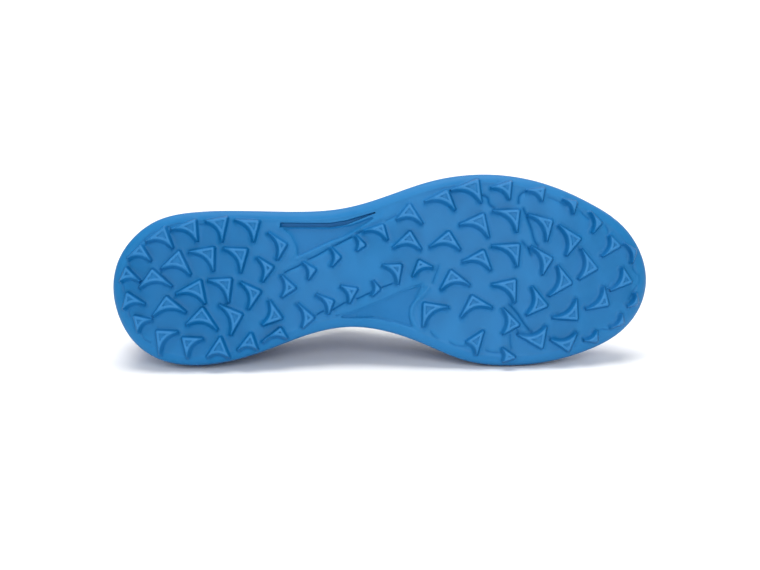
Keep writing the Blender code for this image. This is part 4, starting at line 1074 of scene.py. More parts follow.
def column(table, name, start=None, end=None):
    """One column of a table as a smooth curve over the way along the side."""
    return cubic([row.way for row in table], [getattr(row, name) for row in table], start, end)


def top_line(side, way):
    """Collar and throat edge, then the ridge of the vamp, as points in space."""
    way = np.asarray(way, float)
    result = np.zeros(way.shape + (3,))
    for table, chosen, start, end in ((COLLAR_AND_THROAT, way <= VAMP_WAY, 0.0, None),
                                      (RIDGE, way > VAMP_WAY, None, 0.0)):
        at = {name: column(table, name, None if name == "half" else start, end)(way)
              for name in ("along", "middle", "half", "heel", "instep")}
        x = at["along"] * LENGTH
        y = (at["middle"] + side * at["half"]) * BALL_WIDTH
        z = at["heel"] * HEEL_HEIGHT + at["instep"] * INSTEP_HEIGHT + toe_spring(x)
        result[chosen] = np.stack([x, y, z], axis=-1)[chosen]
    return result


def forward(way):
    """Direction of the ridge, or straight ahead beside the open throat and collar."""
    small = 1e-3
    ahead = top_line(MEDIAL, np.clip(way + small, VAMP_WAY + small, 1)) \
        - top_line(MEDIAL, np.clip(way - small, VAMP_WAY, 1 - small))
    ahead[..., 1] = 0
    ahead /= np.linalg.norm(ahead, axis=-1)[..., None]
    straight = np.zeros_like(ahead)
    straight[..., 0] = 1
    return np.where((way > VAMP_WAY)[..., None], ahead, straight)


def last_surface(side, way, up):
    """The last's surface: way runs from heel to toe, up from the cup's edge to the top line."""
    way, up = np.broadcast_arrays(np.asarray(way, float), np.asarray(up, float))
    foot = edge_point(side, way, CUP_WALL + GAP)
    base = np.concatenate([foot, cup_height(foot[..., 0])[..., None]], axis=-1)
    top = top_line(side, way)
    bend = {name: column(BENDS, name, 0.0, 0.0)(way) for name in ("rise", "bulge", "reach", "drop")}
    turn = np.radians(column(BENDS, "turn")(way))
    tall = top[..., 2] - base[..., 2]
    wide = np.linalg.norm(top[..., :2] - base[..., :2], axis=-1)
    outward = edge_point(side, way, -0.01) - edge_point(side, way, 0.0)
    outward /= np.linalg.norm(outward, axis=-1)[..., None]
    lower = base.copy()
    lower[..., :2] += outward * (bend["bulge"] * tall)[..., None]
    lower[..., 2] += bend["rise"] * tall
    heading = -np.cos(turn)[..., None] * forward(way)
    heading[..., 1] += np.sin(turn) * side
    upper = top + heading * (bend["reach"] * wide)[..., None]
    upper[..., 2] -= bend["drop"] * tall
    t = up[..., None]
    s = 1 - t
    return s ** 3 * base + 3 * s * s * t * lower + 3 * s * t * t * upper + t ** 3 * top


# %% [markdown]
# ## Creases
#
# A worn upper folds where the foot bends. The folds start at the ball, cross the vamp
# and fade towards the sole. Each one is a soft trough with a low ridge beside it, placed
# on the last's own grid of way and height.

# %% Place the creases
# Columns: side, way and up where it starts, way and up where it ends, half width, depth
Crease = namedtuple("Crease", "side start end width depth")
CREASES = (
    Crease(LATERAL, (0.742, 0.42), (0.760, 0.93), 0.0042, 0.00055),
    Crease(LATERAL, (0.775, 0.36), (0.802, 0.96), 0.0046, 0.00075),
    Crease(LATERAL, (0.822, 0.46), (0.846, 0.90), 0.0040, 0.00045),
    Crease(MEDIAL, (0.738, 0.48), (0.752, 0.90), 0.0042, 0.00050),
    Crease(MEDIAL, (0.768, 0.40), (0.798, 0.96), 0.0046, 0.00070),
    Crease(MEDIAL, (0.818, 0.50), (0.842, 0.88), 0.0040, 0.00045),
    Crease(LATERAL, (0.395, 0.30), (0.425, 0.74), 0.0055, 0.00060),
    Crease(MEDIAL, (0.390, 0.32), (0.420, 0.76), 0.0055, 0.00060),
    Crease(LATERAL, (0.235, 0.38), (0.300, 0.66), 0.0060, 0.00045),
    Crease(MEDIAL, (0.230, 0.36), (0.292, 0.64), 0.0060, 0.00045),
)
SIDE_LENGTH = 0.330
SIDE_TALL = 0.075


def crease_depth(side, way, up):
    """How far the creases move the upper inwards at each place of one side."""
    depth = np.zeros(np.broadcast(way, up).shape)
    scale = np.array((SIDE_LENGTH, SIDE_TALL))
    place = np.stack(np.broadcast_arrays(way, up), axis=-1) * scale
    for crease in CREASES:
        if crease.side != side:
            continue
        start = np.array(crease.start) * scale
        span = np.array(crease.end) * scale - start
        length = np.linalg.norm(span)
        share = ((place - start) @ span) / length ** 2
        across = (place - start) @ np.array((span[1], -span[0])) / length
        across = across + 0.0012 * np.sin(share * 5.0 + crease.width * 900)
        fade = smooth((share + 0.25) / 0.45) * smooth((1.25 - share) / 0.45)
        trough = np.exp(-(across / crease.width) ** 2)
        ridge = 0.45 * np.exp(-((across - 1.9 * crease.width) / crease.width) ** 2)
        depth += crease.depth * fade * (trough - ridge)
    return depth


print("creases:", len(CREASES))

# %% [markdown]
# ## The upper
#
# The upper is one wall, open at the collar and the throat and underneath. A toe guard, a
# heel counter and an eyestay lie on it as thicker panels with rounded edges. The collar
# is padded. The inside is lining, so the wall has two finishes.

# %% Build the upper
EYELET_RADIUS = 0.0021
EYELET_PAIRS = 6
EYELET_UP = 0.905
FIRST_EYELET = 0.492
LAST_EYELET = 0.708
STATIONS = 230
LIP_RADIUS = 0.0026
EDGE_PROBE = 0.04
FACING_BEND = 0.060
# Shares of the way up where the grid's rows lie, close together at the top edge
TOP_ROWS = (0.965, 0.975, 0.983, 0.989, 0.994, 0.9975, 1.0)


def guard_line(way):
    return cubic([r.way for r in GUARD_LINE], [r.up for r in GUARD_LINE], 0.0, 0.0)(way)


def facing_share(way, up):
    """1 on the eyestay and 0 outside its edge, which turns round evenly over the vamp."""
    along = np.clip((way - FACING_END + FACING_BEND) / FACING_BEND, 0, None)
    beside = (1 - up) / (1 - FACING_LINE)
    radius = np.maximum(np.hypot(along, beside), 1e-6)
    reach = (1 - FACING_LINE) + (FACING_BEND - (1 - FACING_LINE)) * (along / radius) ** 2
    return smooth(1 + (1 - radius) * reach / STEP_WIDTH)


def panel_share(way, up):
    """1 on the overlays and 0 on the bare upper, with a rounded step between."""
    low = smooth((guard_line(way) + STEP_WIDTH - up) / STEP_WIDTH)
    return np.maximum(low, facing_share(way, up))


def pad_depth(way, up):
    return COLLAR_PAD * smooth((up - 0.55) / 0.35) * smooth((COLLAR_PAD_END - way) / 0.06)


def upper_rows(way):
    """Heights of the grid's rows at one way, close together at both steps."""
    guard = float(guard_line(way))
    low = np.linspace(0.0, guard, 10)
    first_step = guard + STEP_WIDTH * np.array((0.25, 0.5, 0.75, 1.0))
    middle = np.linspace(guard + STEP_WIDTH, FACING_LINE - STEP_WIDTH, 15)[1:]
    second_step = FACING_LINE + STEP_WIDTH * np.array((-0.75, -0.5, -0.25, 0.0))
    high = np.linspace(FACING_LINE, TOP_ROWS[0], 15)[1:-1]
    return np.concatenate([low, first_step, middle, second_step, high, TOP_ROWS])


def surface_normals(vertices, quads):
    """Unit normal at each vertex of an open surface, averaged over its quads."""
    corners = vertices[quads]
    across = np.cross(corners[:, 2] - corners[:, 0], corners[:, 3] - corners[:, 1])
    across = across / np.maximum(np.linalg.norm(across, axis=1), 1e-12)[:, None]
    normals = np.zeros_like(vertices)
    for column in range(4):
        np.add.at(normals, quads[:, column], across)
    return unit(normals)


def open_edges(quads):
    """Border edges of a surface, each in the direction that its quad has it."""
    seen = {(a, b) for quad in quads for a, b in zip(quad, np.roll(quad, -1)) if a != b}
    return [edge for edge in seen if (edge[1], edge[0]) not in seen]


def upper_grid():
    """Surface points, quads, and the way, up and side of each point."""
    ways = np.unique(np.concatenate([np.linspace(0, 1, STATIONS),
                                     FACING_END + STEP_WIDTH * np.linspace(0, 1, 5), [VAMP_WAY]]))
    ways = np.delete(ways, [i for i in range(1, len(ways)) if ways[i] - ways[i - 1] < 0.0006
                            and ways[i] != VAMP_WAY])
    count = len(upper_rows(0.0)) + 1
    points = []
    facts = []
    grid = {}
    for side in (LATERAL, MEDIAL):
        for i, way in enumerate(ways):
            rows = upper_rows(way)
            column_points = last_surface(side, np.full(len(rows), way), rows)
            foot = edge_point(side, way, CUP_WALL + GAP)
            skirt = np.array((*foot, footbed_height(foot[0]) + GAP))
            for j in range(count):
                end = i in (0, len(ways) - 1)
                if side == MEDIAL and (end or (j == count - 1 and way >= VAMP_WAY)):
                    grid[side, i, j] = grid[LATERAL, i, j]
                    continue
                grid[side, i, j] = len(points)
                points.append(skirt if j == 0 else column_points[j - 1])
                facts.append((side, way, -1.0 if j == 0 else rows[j - 1]))
    quads = []
    for side in (LATERAL, MEDIAL):
        for i in range(len(ways) - 1):
            for j in range(count - 1):
                quad = (grid[side, i, j], grid[side, i + 1, j],
                        grid[side, i + 1, j + 1], grid[side, i, j + 1])
                quads.append(quad if side == LATERAL else quad[::-1])
    return np.array(points), np.array(quads), np.array(facts)


def mesh_solid(name, vertices, faces, slots, materials, angle=60):
    """Closed mesh in the lying frame with a material slot for each face."""
    mesh = laid_mesh(name, vertices, faces, materials, angle)
    mesh.polygons.foreach_set("material_index", slots)
    return mesh


def build_upper(materials):
    points, quads, facts = upper_grid()
    side, way, up = facts.T
    normals = surface_normals(points, quads)
    height = np.clip(up, 0.0, 1.0)
    panel = np.where(up < 0, 1.0, panel_share(way, height))
    crease = np.where(side == LATERAL, crease_depth(LATERAL, way, height), crease_depth(MEDIAL, way, height))
    crease = crease * smooth(height / 0.12)
    outer_depth = OVERLAY * (1 - panel) + crease
    inner_depth = WALL + OVERLAY + pad_depth(way, height) + crease
    open_rim = (way < VAMP_WAY) & (up > 0.9)
    edge = last_surface(MEDIAL, way, np.ones(len(way)))
    under = last_surface(MEDIAL, way, np.full(len(way), 1 - EDGE_PROBE))
    tall = np.linalg.norm(edge - under, axis=1) / EDGE_PROBE
    half = np.minimum((inner_depth - outer_depth) / 2, LIP_RADIUS)
    near = np.clip(1 - (1 - height) * tall / half, 0, 1) * open_rim
    pull = half * (1 - np.sqrt(np.clip(1 - near * near, 0, 1)))
    outer = points - normals * (outer_depth + pull)[:, None]
    inner = points - normals * (inner_depth - pull)[:, None]
    count = len(points)
    faces = [tuple(q) for q in quads] + [tuple(v + count for v in q[::-1]) for q in quads]
    rims = open_edges(quads)
    faces += [(a, b, b + count, a + count) for a, b in rims]
    slots = [0] * len(quads) + [1] * len(quads) + [1] * len(rims)
    cleaned = [(tuple(dict.fromkeys(face)), slot) for face, slot in zip(faces, slots)]
    cleaned = [(face, slot) for face, slot in cleaned if len(face) > 2]
    mesh = mesh_solid("upper_look", np.vstack([outer, inner]), [face for face, slot in cleaned],
                      [slot for face, slot in cleaned], materials)
    paint = mesh.attributes.new("panel", "FLOAT_COLOR", "POINT")
    inside = np.concatenate([np.zeros(count), np.ones(count)])
    values = np.column_stack([np.tile(panel, 2), np.tile(way, 2), inside, np.tile(height, 2)])
    paint.data.foreach_set("color", values.ravel())
    return link("upper_look", mesh)


def instep_section(way):
    """Curve over the instep from side to side: both walls and the bridge between them."""
    ups = np.linspace(0.45, 1.0, 24)
    left = last_surface(LATERAL, way, ups)
    right = last_surface(MEDIAL, way, ups)
    start, end = left[-1], right[-1]
    span = np.linalg.norm(end - start)
    arm = 0.28 * span
    leave = (left[-1] - left[-2]) / np.linalg.norm(left[-1] - left[-2])
    arrive = (right[-1] - right[-2]) / np.linalg.norm(right[-1] - right[-2])
    t = np.linspace(0, 1, 25)[1:-1, None]
    s = 1 - t
    bridge = s ** 3 * start + 3 * s * s * t * (start + leave * arm) \
        + 3 * s * t * t * (end + arrive * arm) + t ** 3 * end
    if span < 1e-6:
        bridge = np.empty((0, 3))
        right = right[:-1]
    path = np.vstack([left, bridge, right[::-1]])
    length = np.concatenate([[0.0], np.cumsum(np.linalg.norm(np.diff(path, axis=0), axis=1))])
    middle = (length[len(left) - 1] + length[len(left) - 1 + len(bridge) + (1 if len(bridge) else 0)]) / 2
    return path, length - middle


def instep_point(way, across):
    """Point of the closed instep surface, at a signed distance from its middle."""
    path, distance = instep_section(way)
    return np.array([np.interp(across, distance, path[:, axis]) for axis in range(3)])


def instep_normal(way, across):
    small_way = 2e-3
    small = 4e-4
    ahead = instep_point(way + small_way, across) - instep_point(way - small_way, across)
    beside = instep_point(way, across + small) - instep_point(way, across - small)
    normal = np.cross(ahead, beside)
    normal /= np.linalg.norm(normal)
    return normal if normal[2] > 0 else -normal


def eyelet_ways():
    return [FIRST_EYELET + (LAST_EYELET - FIRST_EYELET) * k / (EYELET_PAIRS - 1) for k in range(EYELET_PAIRS)]


def eyelet_reach(side, way):
    """Distance of an eyelet from the middle of the instep, along the surface."""
    path, distance = instep_section(way)
    place = last_surface(side, way, EYELET_UP)
    return distance[np.linalg.norm(path - place, axis=1).argmin()]


def punch_eyelets(upper):
    """Cut the round lace holes through the eyestay."""
    form = bmesh.new()
    for side in (LATERAL, MEDIAL):
        for way in eyelet_ways():
            across = eyelet_reach(side, way)
            turn = Vector(instep_normal(way, across)).to_track_quat("Z", "Y").to_matrix().to_4x4()
            where = LAY @ Matrix.Translation(Vector(instep_point(way, across))) @ turn
            bmesh.ops.create_cone(form, cap_ends=True, segments=24, radius1=EYELET_RADIUS,
                                  radius2=EYELET_RADIUS, depth=4 * (WALL + OVERLAY), matrix=where)
    mesh = bpy.data.meshes.new("eyelet_pins")
    form.to_mesh(mesh)
    form.free()
    pins = link("eyelet_pins", mesh)
    cut = upper.modifiers.new("eyelets", "BOOLEAN")
    cut.operation = "DIFFERENCE"
    cut.object = pins
    cut.solver = "EXACT"
    punched = bpy.data.meshes.new_from_object(upper.evaluated_get(bpy.context.evaluated_depsgraph_get()))
    upper.modifiers.clear()
    upper.data = punched
    bpy.data.objects.remove(pins)
    return upper


# %% [markdown]
# ## Finishes of the upper
#
# Overlays are synthetic leather with a fine grain and some gloss. The parts between are
# a close textile, and the lining is brushed. All share one family of blues, because the
# sole is the only colour that the photograph gives.

# %% Mix synthetic leather, textile and lining
OVERLAY_BLUE = (0.030, 0.130, 0.380)
TEXTILE_BLUE = (0.018, 0.085, 0.270)
LINING_NAVY = (0.016, 0.040, 0.105)


def mix_upper():
    material, tree, shader, coordinates = new_material("blue synthetic upper")
    paint = node(tree, "ShaderNodeAttribute", attribute_name="panel")
    parts = node(tree, "ShaderNodeSeparateColor", {"Color": paint.outputs["Color"]}).outputs
    panel = parts["Red"]
    cloud = noise(tree, 45.0, 3.0, coordinates)
    colour = blend_colour(tree, panel, TEXTILE_BLUE, OVERLAY_BLUE)
    shade = blend_colour(tree, 0.25, colour, (0.004, 0.020, 0.080))
    colour = blend_colour(tree, scaled(tree, cloud, 0.40, 0.65, 0.0, 0.5), colour, shade)
    tree.links.new(colour, shader.inputs["Base Color"])
    tree.links.new(scaled(tree, panel, 0.0, 1.0, 0.78, 0.48), shader.inputs["Roughness"])
    shader.inputs["Coat Weight"].default_value = 0.05
    shader.inputs["Coat Roughness"].default_value = 0.40
    grain = node(tree, "ShaderNodeTexVoronoi", {"Scale": 1100.0, "Vector": coordinates})
    weave = node(tree, "ShaderNodeTexWave", {"Scale": 520.0, "Distortion": 1.5, "Vector": coordinates})
    cross = node(tree, "ShaderNodeTexWave", {"Scale": 520.0, "Distortion": 1.5, "Vector": coordinates},
                 bands_direction="Z")
    knit = node(tree, "ShaderNodeMath", {0: weave.outputs["Fac"], 1: cross.outputs["Fac"]},
                operation="MULTIPLY")
    relief = node(tree, "ShaderNodeMix", data_type="FLOAT")
    tree.links.new(panel, relief.inputs[0])
    tree.links.new(knit.outputs["Value"], relief.inputs[2])
    tree.links.new(grain.outputs["Distance"], relief.inputs[3])
    normal = bumped(tree, ((relief.outputs[0], 0.00010, 0.45), (cloud, 0.00060, 0.20)))
    tree.links.new(normal, shader.inputs["Normal"])
    return material


def mix_cloth(name, colour, dark, scale, depth):
    """Brushed or woven cloth: a soft colour, a fine relief and a little sheen."""
    material, tree, shader, coordinates = new_material(name)
    fuzz = noise(tree, scale, 5.0, coordinates)
    mixed = blend_colour(tree, scaled(tree, fuzz, 0.35, 0.65, 0.0, 1.0), colour, dark)
    tree.links.new(mixed, shader.inputs["Base Color"])
    shader.inputs["Roughness"].default_value = 0.88
    shader.inputs["Sheen Weight"].default_value = 0.15
    tree.links.new(bumped(tree, ((fuzz, depth, 0.5),)), shader.inputs["Normal"])
    return material


synthetic = mix_upper()
lining = mix_cloth("navy lining", LINING_NAVY, (0.008, 0.020, 0.055), 1500.0, 0.00012)
upper = build_upper([synthetic, lining])
upper = punch_eyelets(upper)
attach(upper, "root")
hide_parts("upper")
print("upper:", len(upper.data.polygons), "faces")

# %% [markdown]
# ## The tongue
#
# The tongue is foam between two cloths, sewn in under the vamp. It follows the instep and
# leans back above the top eyelets. Its edge is bound thin and its middle is full.

# %% Build the tongue
TONGUE_THICKNESS = 0.0036
TONGUE_TOP_WIDTH = 0.040
TONGUE_END_WIDTH = 0.038
TONGUE_TAPER = 0.86
TONGUE_CURL = 0.24
TONGUE_FIRST = 0.49
TONGUE_LAST = 0.775
TONGUE_RISE = 0.020
TONGUE_GAP = 0.0008
TONGUE_ACROSS = 37
TONGUE_ALONG = 44
CURL_STAGES = 12
BINDING = 0.0042
CHANNEL = 0.00035


def tongue_sections():
    """Rows of the tongue's guide surface from under the vamp to its free end."""
    ways = np.linspace(TONGUE_FIRST, TONGUE_LAST, TONGUE_ALONG)
    rows = []
    for way in ways[::-1]:
        share = (way - ways[0]) / (ways[-1] - ways[0])
        half = (TONGUE_TOP_WIDTH + (TONGUE_END_WIDTH - TONGUE_TOP_WIDTH) * share) / 2
        path, distance = instep_section(way)
        across = np.linspace(-half, half, TONGUE_ACROSS)
        rows.append(np.column_stack([np.interp(across, distance, path[:, axis]) for axis in range(3)]))
    heading = unit(rows[-1].mean(axis=0) - rows[-4].mean(axis=0))
    for stage in range(CURL_STAGES):
        heading = unit(heading + np.array((0.0, 0.0, TONGUE_CURL * 3 / CURL_STAGES)))
        section = rows[-1] + heading * (TONGUE_RISE / CURL_STAGES)
        middle = section.mean(axis=0)
        narrow = TONGUE_TAPER ** (3 / CURL_STAGES) * (1 - 0.20 * max(0, stage - 8) ** 2 / 9)
        rows.append(middle + (section - middle) * (1.0, narrow, narrow))
    return np.array(rows)


def build_tongue(material):
    rows = tongue_sections()
    along, across, _ = rows.shape
    vertices = rows.reshape(-1, 3)
    quads = np.array([(i * across + j, i * across + j + 1, (i + 1) * across + j + 1, (i + 1) * across + j)
                      for i in range(along - 1) for j in range(across - 1)])
    normals = surface_normals(vertices, quads)
    if normals[:, 2].mean() < 0:
        normals = -normals
    # The last rows narrow fast, so they take their direction from the row before them
    normals = normals.reshape(along, across, 3)
    normals[-4:] = normals[-5]
    normals = normals.reshape(-1, 3)
    v = np.linspace(-1, 1, across)[None, :] * np.ones((along, 1))
    u = np.concatenate([[0.0], np.cumsum(np.linalg.norm(np.diff(rows[:, across // 2], axis=0), axis=1))])
    width = np.linalg.norm(rows[:, -1] - rows[:, 0], axis=1)[:, None]
    rim = np.minimum((1 - np.abs(v)) * width / 2, np.minimum(u, u[-1] - u)[:, None])
    full = np.sqrt(np.clip(1 - np.clip(1 - rim / BINDING, 0, 1) ** 2, 0.04, 1))
    channel = sum(np.exp(-((v - where) * width / 2 / 0.0009) ** 2) for where in (-0.42, 0.42))
    channel = channel * smooth((u[-1] - u - 0.008) / 0.004)[:, None]
    cover = WALL + OVERLAY + TONGUE_GAP
    half = TONGUE_THICKNESS / 2
    outer_depth = cover + half * (1 - full) + CHANNEL * channel
    inner_depth = cover + TONGUE_THICKNESS - half * (1 - full)
    outer = vertices - normals * outer_depth.reshape(-1, 1)
    inner = vertices - normals * inner_depth.reshape(-1, 1)
    count = len(vertices)
    faces = [tuple(q) for q in quads] + [tuple(v + count for v in q[::-1]) for q in quads]
    faces += [(a, b, b + count, a + count) for a, b in open_edges(quads)]
    return link("tongue_look", laid_mesh("tongue_look", np.vstack([outer, inner]), faces, [material], 70))


tongue_cloth = mix_cloth("navy tongue", (0.018, 0.055, 0.160), (0.008, 0.026, 0.085), 1300.0, 0.00012)
tongue = build_tongue(tongue_cloth)
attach(tongue, "root")
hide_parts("tongue")
print("tongue:", len(tongue.data.polygons), "faces")

# %% [markdown]
# ## The lace
#
# One flat lace starts as a straight bar over the lowest pair of eyelets. Each half then
# dives through its eyelet, runs under the eyestay, crosses the tongue and comes up
# through the next eyelet of the other side. The ends stop in the top eyelets.

# %% Thread the lace
LACE_WIDTH = 0.0056
LACE_THICKNESS = 0.0015
HOLE_WIDTH = 0.0032
UNDER_THICKNESS = 0.0006
ABOVE = SOFT_GAP + LACE_THICKNESS / 2
BELOW = -(WALL + OVERLAY + TONGUE_GAP / 2)
LACE_STEP = 0.0011
SECTION_POINTS = 12
# Power of the section's rounding: 1 is an ellipse, less is flatter with rounder edges
FLATNESS = 0.45
THREAD_PITCH = 0.0009
LACE_COLOUR = (0.74, 0.76, 0.78)
# The gap colour is painted shade between the threads
LACE_GAP_SHADE = (0.46, 0.49, 0.53)
Knot = namedtuple("Knot", "way across lift width thickness")


def throat_edge(side, way):
    """Distance of the throat's edge from the middle of the instep."""
    path, distance = instep_section(way)
    place = last_surface(side, way, 1.0)
    return distance[np.linalg.norm(path - place, axis=1).argmin()]


def strand(first_side, middle_lift):
    """Knots of one half of the lace, from the straight bar's middle to the top eyelet."""
    ways = eyelet_ways()[::-1]
    flat = (LACE_WIDTH, LACE_THICKNESS)
    thin = (LACE_WIDTH * 0.9, UNDER_THICKNESS)
    tight = (HOLE_WIDTH, LACE_THICKNESS)
    knots = [Knot(ways[0], 0.0, ABOVE, *flat)]
    side = first_side
    for k, way in enumerate(ways):
        hole = eyelet_reach(side, way)
        if k == 0:
            knots += [Knot(way, hole * 0.62, ABOVE, *flat), Knot(way, hole * 0.90, ABOVE, *flat),
                      Knot(way, hole, 0.0, *tight), Knot(way, hole * 0.985, BELOW * 0.8, *tight)]
        else:
            knots += [Knot(way, hole * 0.90, BELOW, *thin), Knot(way, hole * 0.985, BELOW * 0.8, *tight),
                      Knot(way, hole, 0.0, *tight)]
        if k == len(ways) - 1:
            knots.append(Knot(way, hole * 0.995, 0.0006, *tight))
            break
        ahead = ways[k + 1]
        across_to = eyelet_reach(-side, ahead)
        here = throat_edge(side, way)
        there = throat_edge(-side, ahead)

        def between(share):
            return way + (ahead - way) * share

        span = across_to - hole
        if k == 0:
            knots += [Knot(between(0.06), hole * 0.88, BELOW, *thin),
                      Knot(between((here - hole) / span), here * 0.96, BELOW, *thin)]
        else:
            knots += [Knot(between(0.05), hole * 0.92, ABOVE, *flat),
                      Knot(between((here - hole) / span), here, ABOVE, *flat)]
        knots += [Knot(between(0.5), (hole + across_to) / 2, middle_lift, *flat),
                  Knot(between((there - hole) / span), there * 0.94, BELOW * 0.75, *thin)]
        side = -side
    return knots


def thread_path(knots):
    """Even samples along the knots: points, widths, thicknesses and the shoe's own direction."""
    table = np.array(knots)
    rough = np.array([instep_point(k.way, k.across) + instep_normal(k.way, k.across) * k.lift for k in knots])
    length = path_lengths(rough)
    where = np.linspace(0, length[-1], round(length[-1] / LACE_STEP))
    slopes = []
    for axis in range(3):
        value = table[:, axis]
        step = np.diff(length)
        slope = np.diff(value) / step
        middle = np.where(slope[1:] * slope[:-1] > 0,
                          2 * slope[1:] * slope[:-1] / (slope[1:] + slope[:-1] + 1e-30), 0.0)
        slopes.append(np.concatenate([[slope[0]], middle, [slope[-1]]]))
    i = np.clip(np.searchsorted(length, where, side="right") - 1, 0, len(knots) - 2)
    step = length[i + 1] - length[i]
    t = (where - length[i]) / step
    columns = []
    for axis in range(3):
        a, b = table[i, axis], table[i + 1, axis]
        m, n = slopes[axis][i] * step, slopes[axis][i + 1] * step
        columns.append((2 * t ** 3 - 3 * t ** 2 + 1) * a + (t ** 3 - 2 * t ** 2 + t) * m
                       + (3 * t ** 2 - 2 * t ** 3) * b + (t ** 3 - t ** 2) * n)
    samples = []
    for way, across, lift, at in zip(*columns, where):
        place = instep_point(way, across)
        ahead = unit(instep_point(way + 0.003, across) - place)
        samples.append((*(place + instep_normal(way, across) * lift), np.interp(at, length, table[:, 3]),
                        np.interp(at, length, table[:, 4]), *ahead))
    return np.array(samples)


def build_lace(material):
    left = thread_path(strand(LATERAL, ABOVE + 0.0004))
    right = thread_path(strand(MEDIAL, ABOVE - 0.0014))
    samples = np.vstack([left[::-1], right[1:]])
    points = samples[:, :3]
    for _ in range(2):
        points[1:-1] = (points[:-2] + 2 * points[1:-1] + points[2:]) / 4
    tangent = unit(np.gradient(points, axis=0))
    guide = samples[:, 5:8]
    beside = unit(guide - tangent * np.sum(guide * tangent, axis=1)[:, None])
    upward = np.cross(tangent, beside)
    angle = np.arange(SECTION_POINTS) / SECTION_POINTS * 2 * math.pi
    wide = np.sign(np.cos(angle)) * np.abs(np.cos(angle)) ** FLATNESS / 2
    high = np.sign(np.sin(angle)) * np.abs(np.sin(angle)) ** FLATNESS / 2
    rows = points[:, None] + beside[:, None] * (samples[:, 3:4] * wide)[..., None] \
        + upward[:, None] * (samples[:, 4:5] * high)[..., None]
    count = len(points)
    number = np.arange(count * SECTION_POINTS).reshape(count, SECTION_POINTS).tolist()
    faces = [face for first, second in zip(number, number[1:]) for face in strip(first, second)]
    faces += [tuple(number[0]), tuple(reversed(number[-1]))]
    mesh = laid_mesh("lace_look", rows.reshape(-1, 3), faces, [material], 60)
    thread = mesh.attributes.new("thread", "FLOAT_COLOR", "POINT")
    along = np.repeat(path_lengths(points), SECTION_POINTS)
    beside_middle = np.tile(wide * LACE_WIDTH, count)
    values = np.column_stack([along, beside_middle, np.zeros(len(along)), np.ones(len(along))])
    thread.data.foreach_set("color", values.ravel())
    return link("lace_look", mesh)


def mix_lace():
    """White woven lace with a herringbone of threads along its own length."""
    material, tree, shader, _ = new_material("white lace")
    thread = node(tree, "ShaderNodeAttribute", attribute_name="thread")
    parts = node(tree, "ShaderNodeSeparateColor", {"Color": thread.outputs["Color"]}).outputs
    slant = node(tree, "ShaderNodeMath", {0: parts["Green"]}, operation="ABSOLUTE").outputs["Value"]
    lane = node(tree, "ShaderNodeMath", {0: parts["Red"], 1: slant}, operation="ADD").outputs["Value"]
    turns = node(tree, "ShaderNodeMath", {0: lane, 1: 2 * math.pi / THREAD_PITCH}, operation="MULTIPLY")
    wave = node(tree, "ShaderNodeMath", {0: turns.outputs["Value"]}, operation="SINE").outputs["Value"]
    # Painted shade in the gaps between the threads of the herringbone
    colour = blend_colour(tree, scaled(tree, wave, -1.0, 0.2, 0.0, 1.0), LACE_GAP_SHADE, LACE_COLOUR)
    tree.links.new(colour, shader.inputs["Base Color"])
    shader.inputs["Roughness"].default_value = 0.82
    shader.inputs["Sheen Weight"].default_value = 0.10
    tree.links.new(bumped(tree, ((wave, 0.00010, 0.6),)), shader.inputs["Normal"])
    return material


lace = build_lace(mix_lace())
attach(lace, "root")
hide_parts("lace")
length = max(point.color[0] for point in lace.data.attributes["thread"].data)
print("lace:", len(lace.data.polygons), "faces,", round(length * 1000), "mm long")

# %% [markdown]
# ## The insole
#
# A sock liner of foam under a textile lies on the footbed. Its edge is cut at a slant and
# rises a little round the heel, where it cups the foot.

# %% Build the insole
INSOLE_RING = 240
# Columns: inset from the liner's edge, share of its thickness
LINER_ROWS = ((0.0, 0.0), (0.0, 0.80), (0.0003, 0.93), (0.0010, 1.0))


def build_insole(material):
    edge_inset = CUP_WALL + GAP + WALL + OVERLAY + INSOLE_GAP
    vertices = []
    faces = []
    row = None
    for inset, share in LINER_ROWS:
        plan = ring(edge_inset + inset, INSOLE_RING)
        first = len(vertices)
        vertices += [(x, y, z) for (x, y), z in zip(plan, footbed_height(plan[:, 0]) + GAP
                                                    + INSOLE_THICKNESS * share)]
        new_row = list(range(first, first + INSOLE_RING))
        if row:
            faces += strip(row, new_row)
        row = new_row
    border = ring(edge_inset + LINER_ROWS[-1][0], INSOLE_RING)
    inner = hexagonal(border.min(axis=0), border.max(axis=0), 0.004)
    distance, inside = polygon_distance(inner, border)
    points = np.vstack([border, inner[inside & (distance > 0.002)]])
    flat, triangles, rim = plan_mesh(points, [list(range(INSOLE_RING))], list(range(INSOLE_RING)))
    distance, inside = polygon_distance(flat, border)
    dish = 0.0008 * smooth(distance / 0.012)
    back = {new: row[old] for old, new in enumerate(rim)}
    for index, (x, y) in enumerate(flat):
        if index not in back:
            back[index] = len(vertices)
            vertices.append((x, y, footbed_height(x) + GAP + INSOLE_THICKNESS - dish[index]))
    faces += [tuple(back[v] for v in triangle) for triangle in triangles]
    faces.append(tuple(reversed(range(INSOLE_RING))))
    return link("insole_look", laid_mesh("insole_look", vertices, faces, [material], 60))


insole = build_insole(mix_cloth("dark insole", (0.030, 0.034, 0.045), (0.012, 0.014, 0.020), 1800.0, 0.00010))
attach(insole, "root")
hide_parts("insole")
print("insole:", len(insole.data.polygons), "faces")

# %% [markdown]
# ## Stitches
#
# Two-needle seams hold the overlays down. A Geometry Nodes tree sets one small thread
# bead at each step of a guide line, so the spacing is a number that a reader can change.

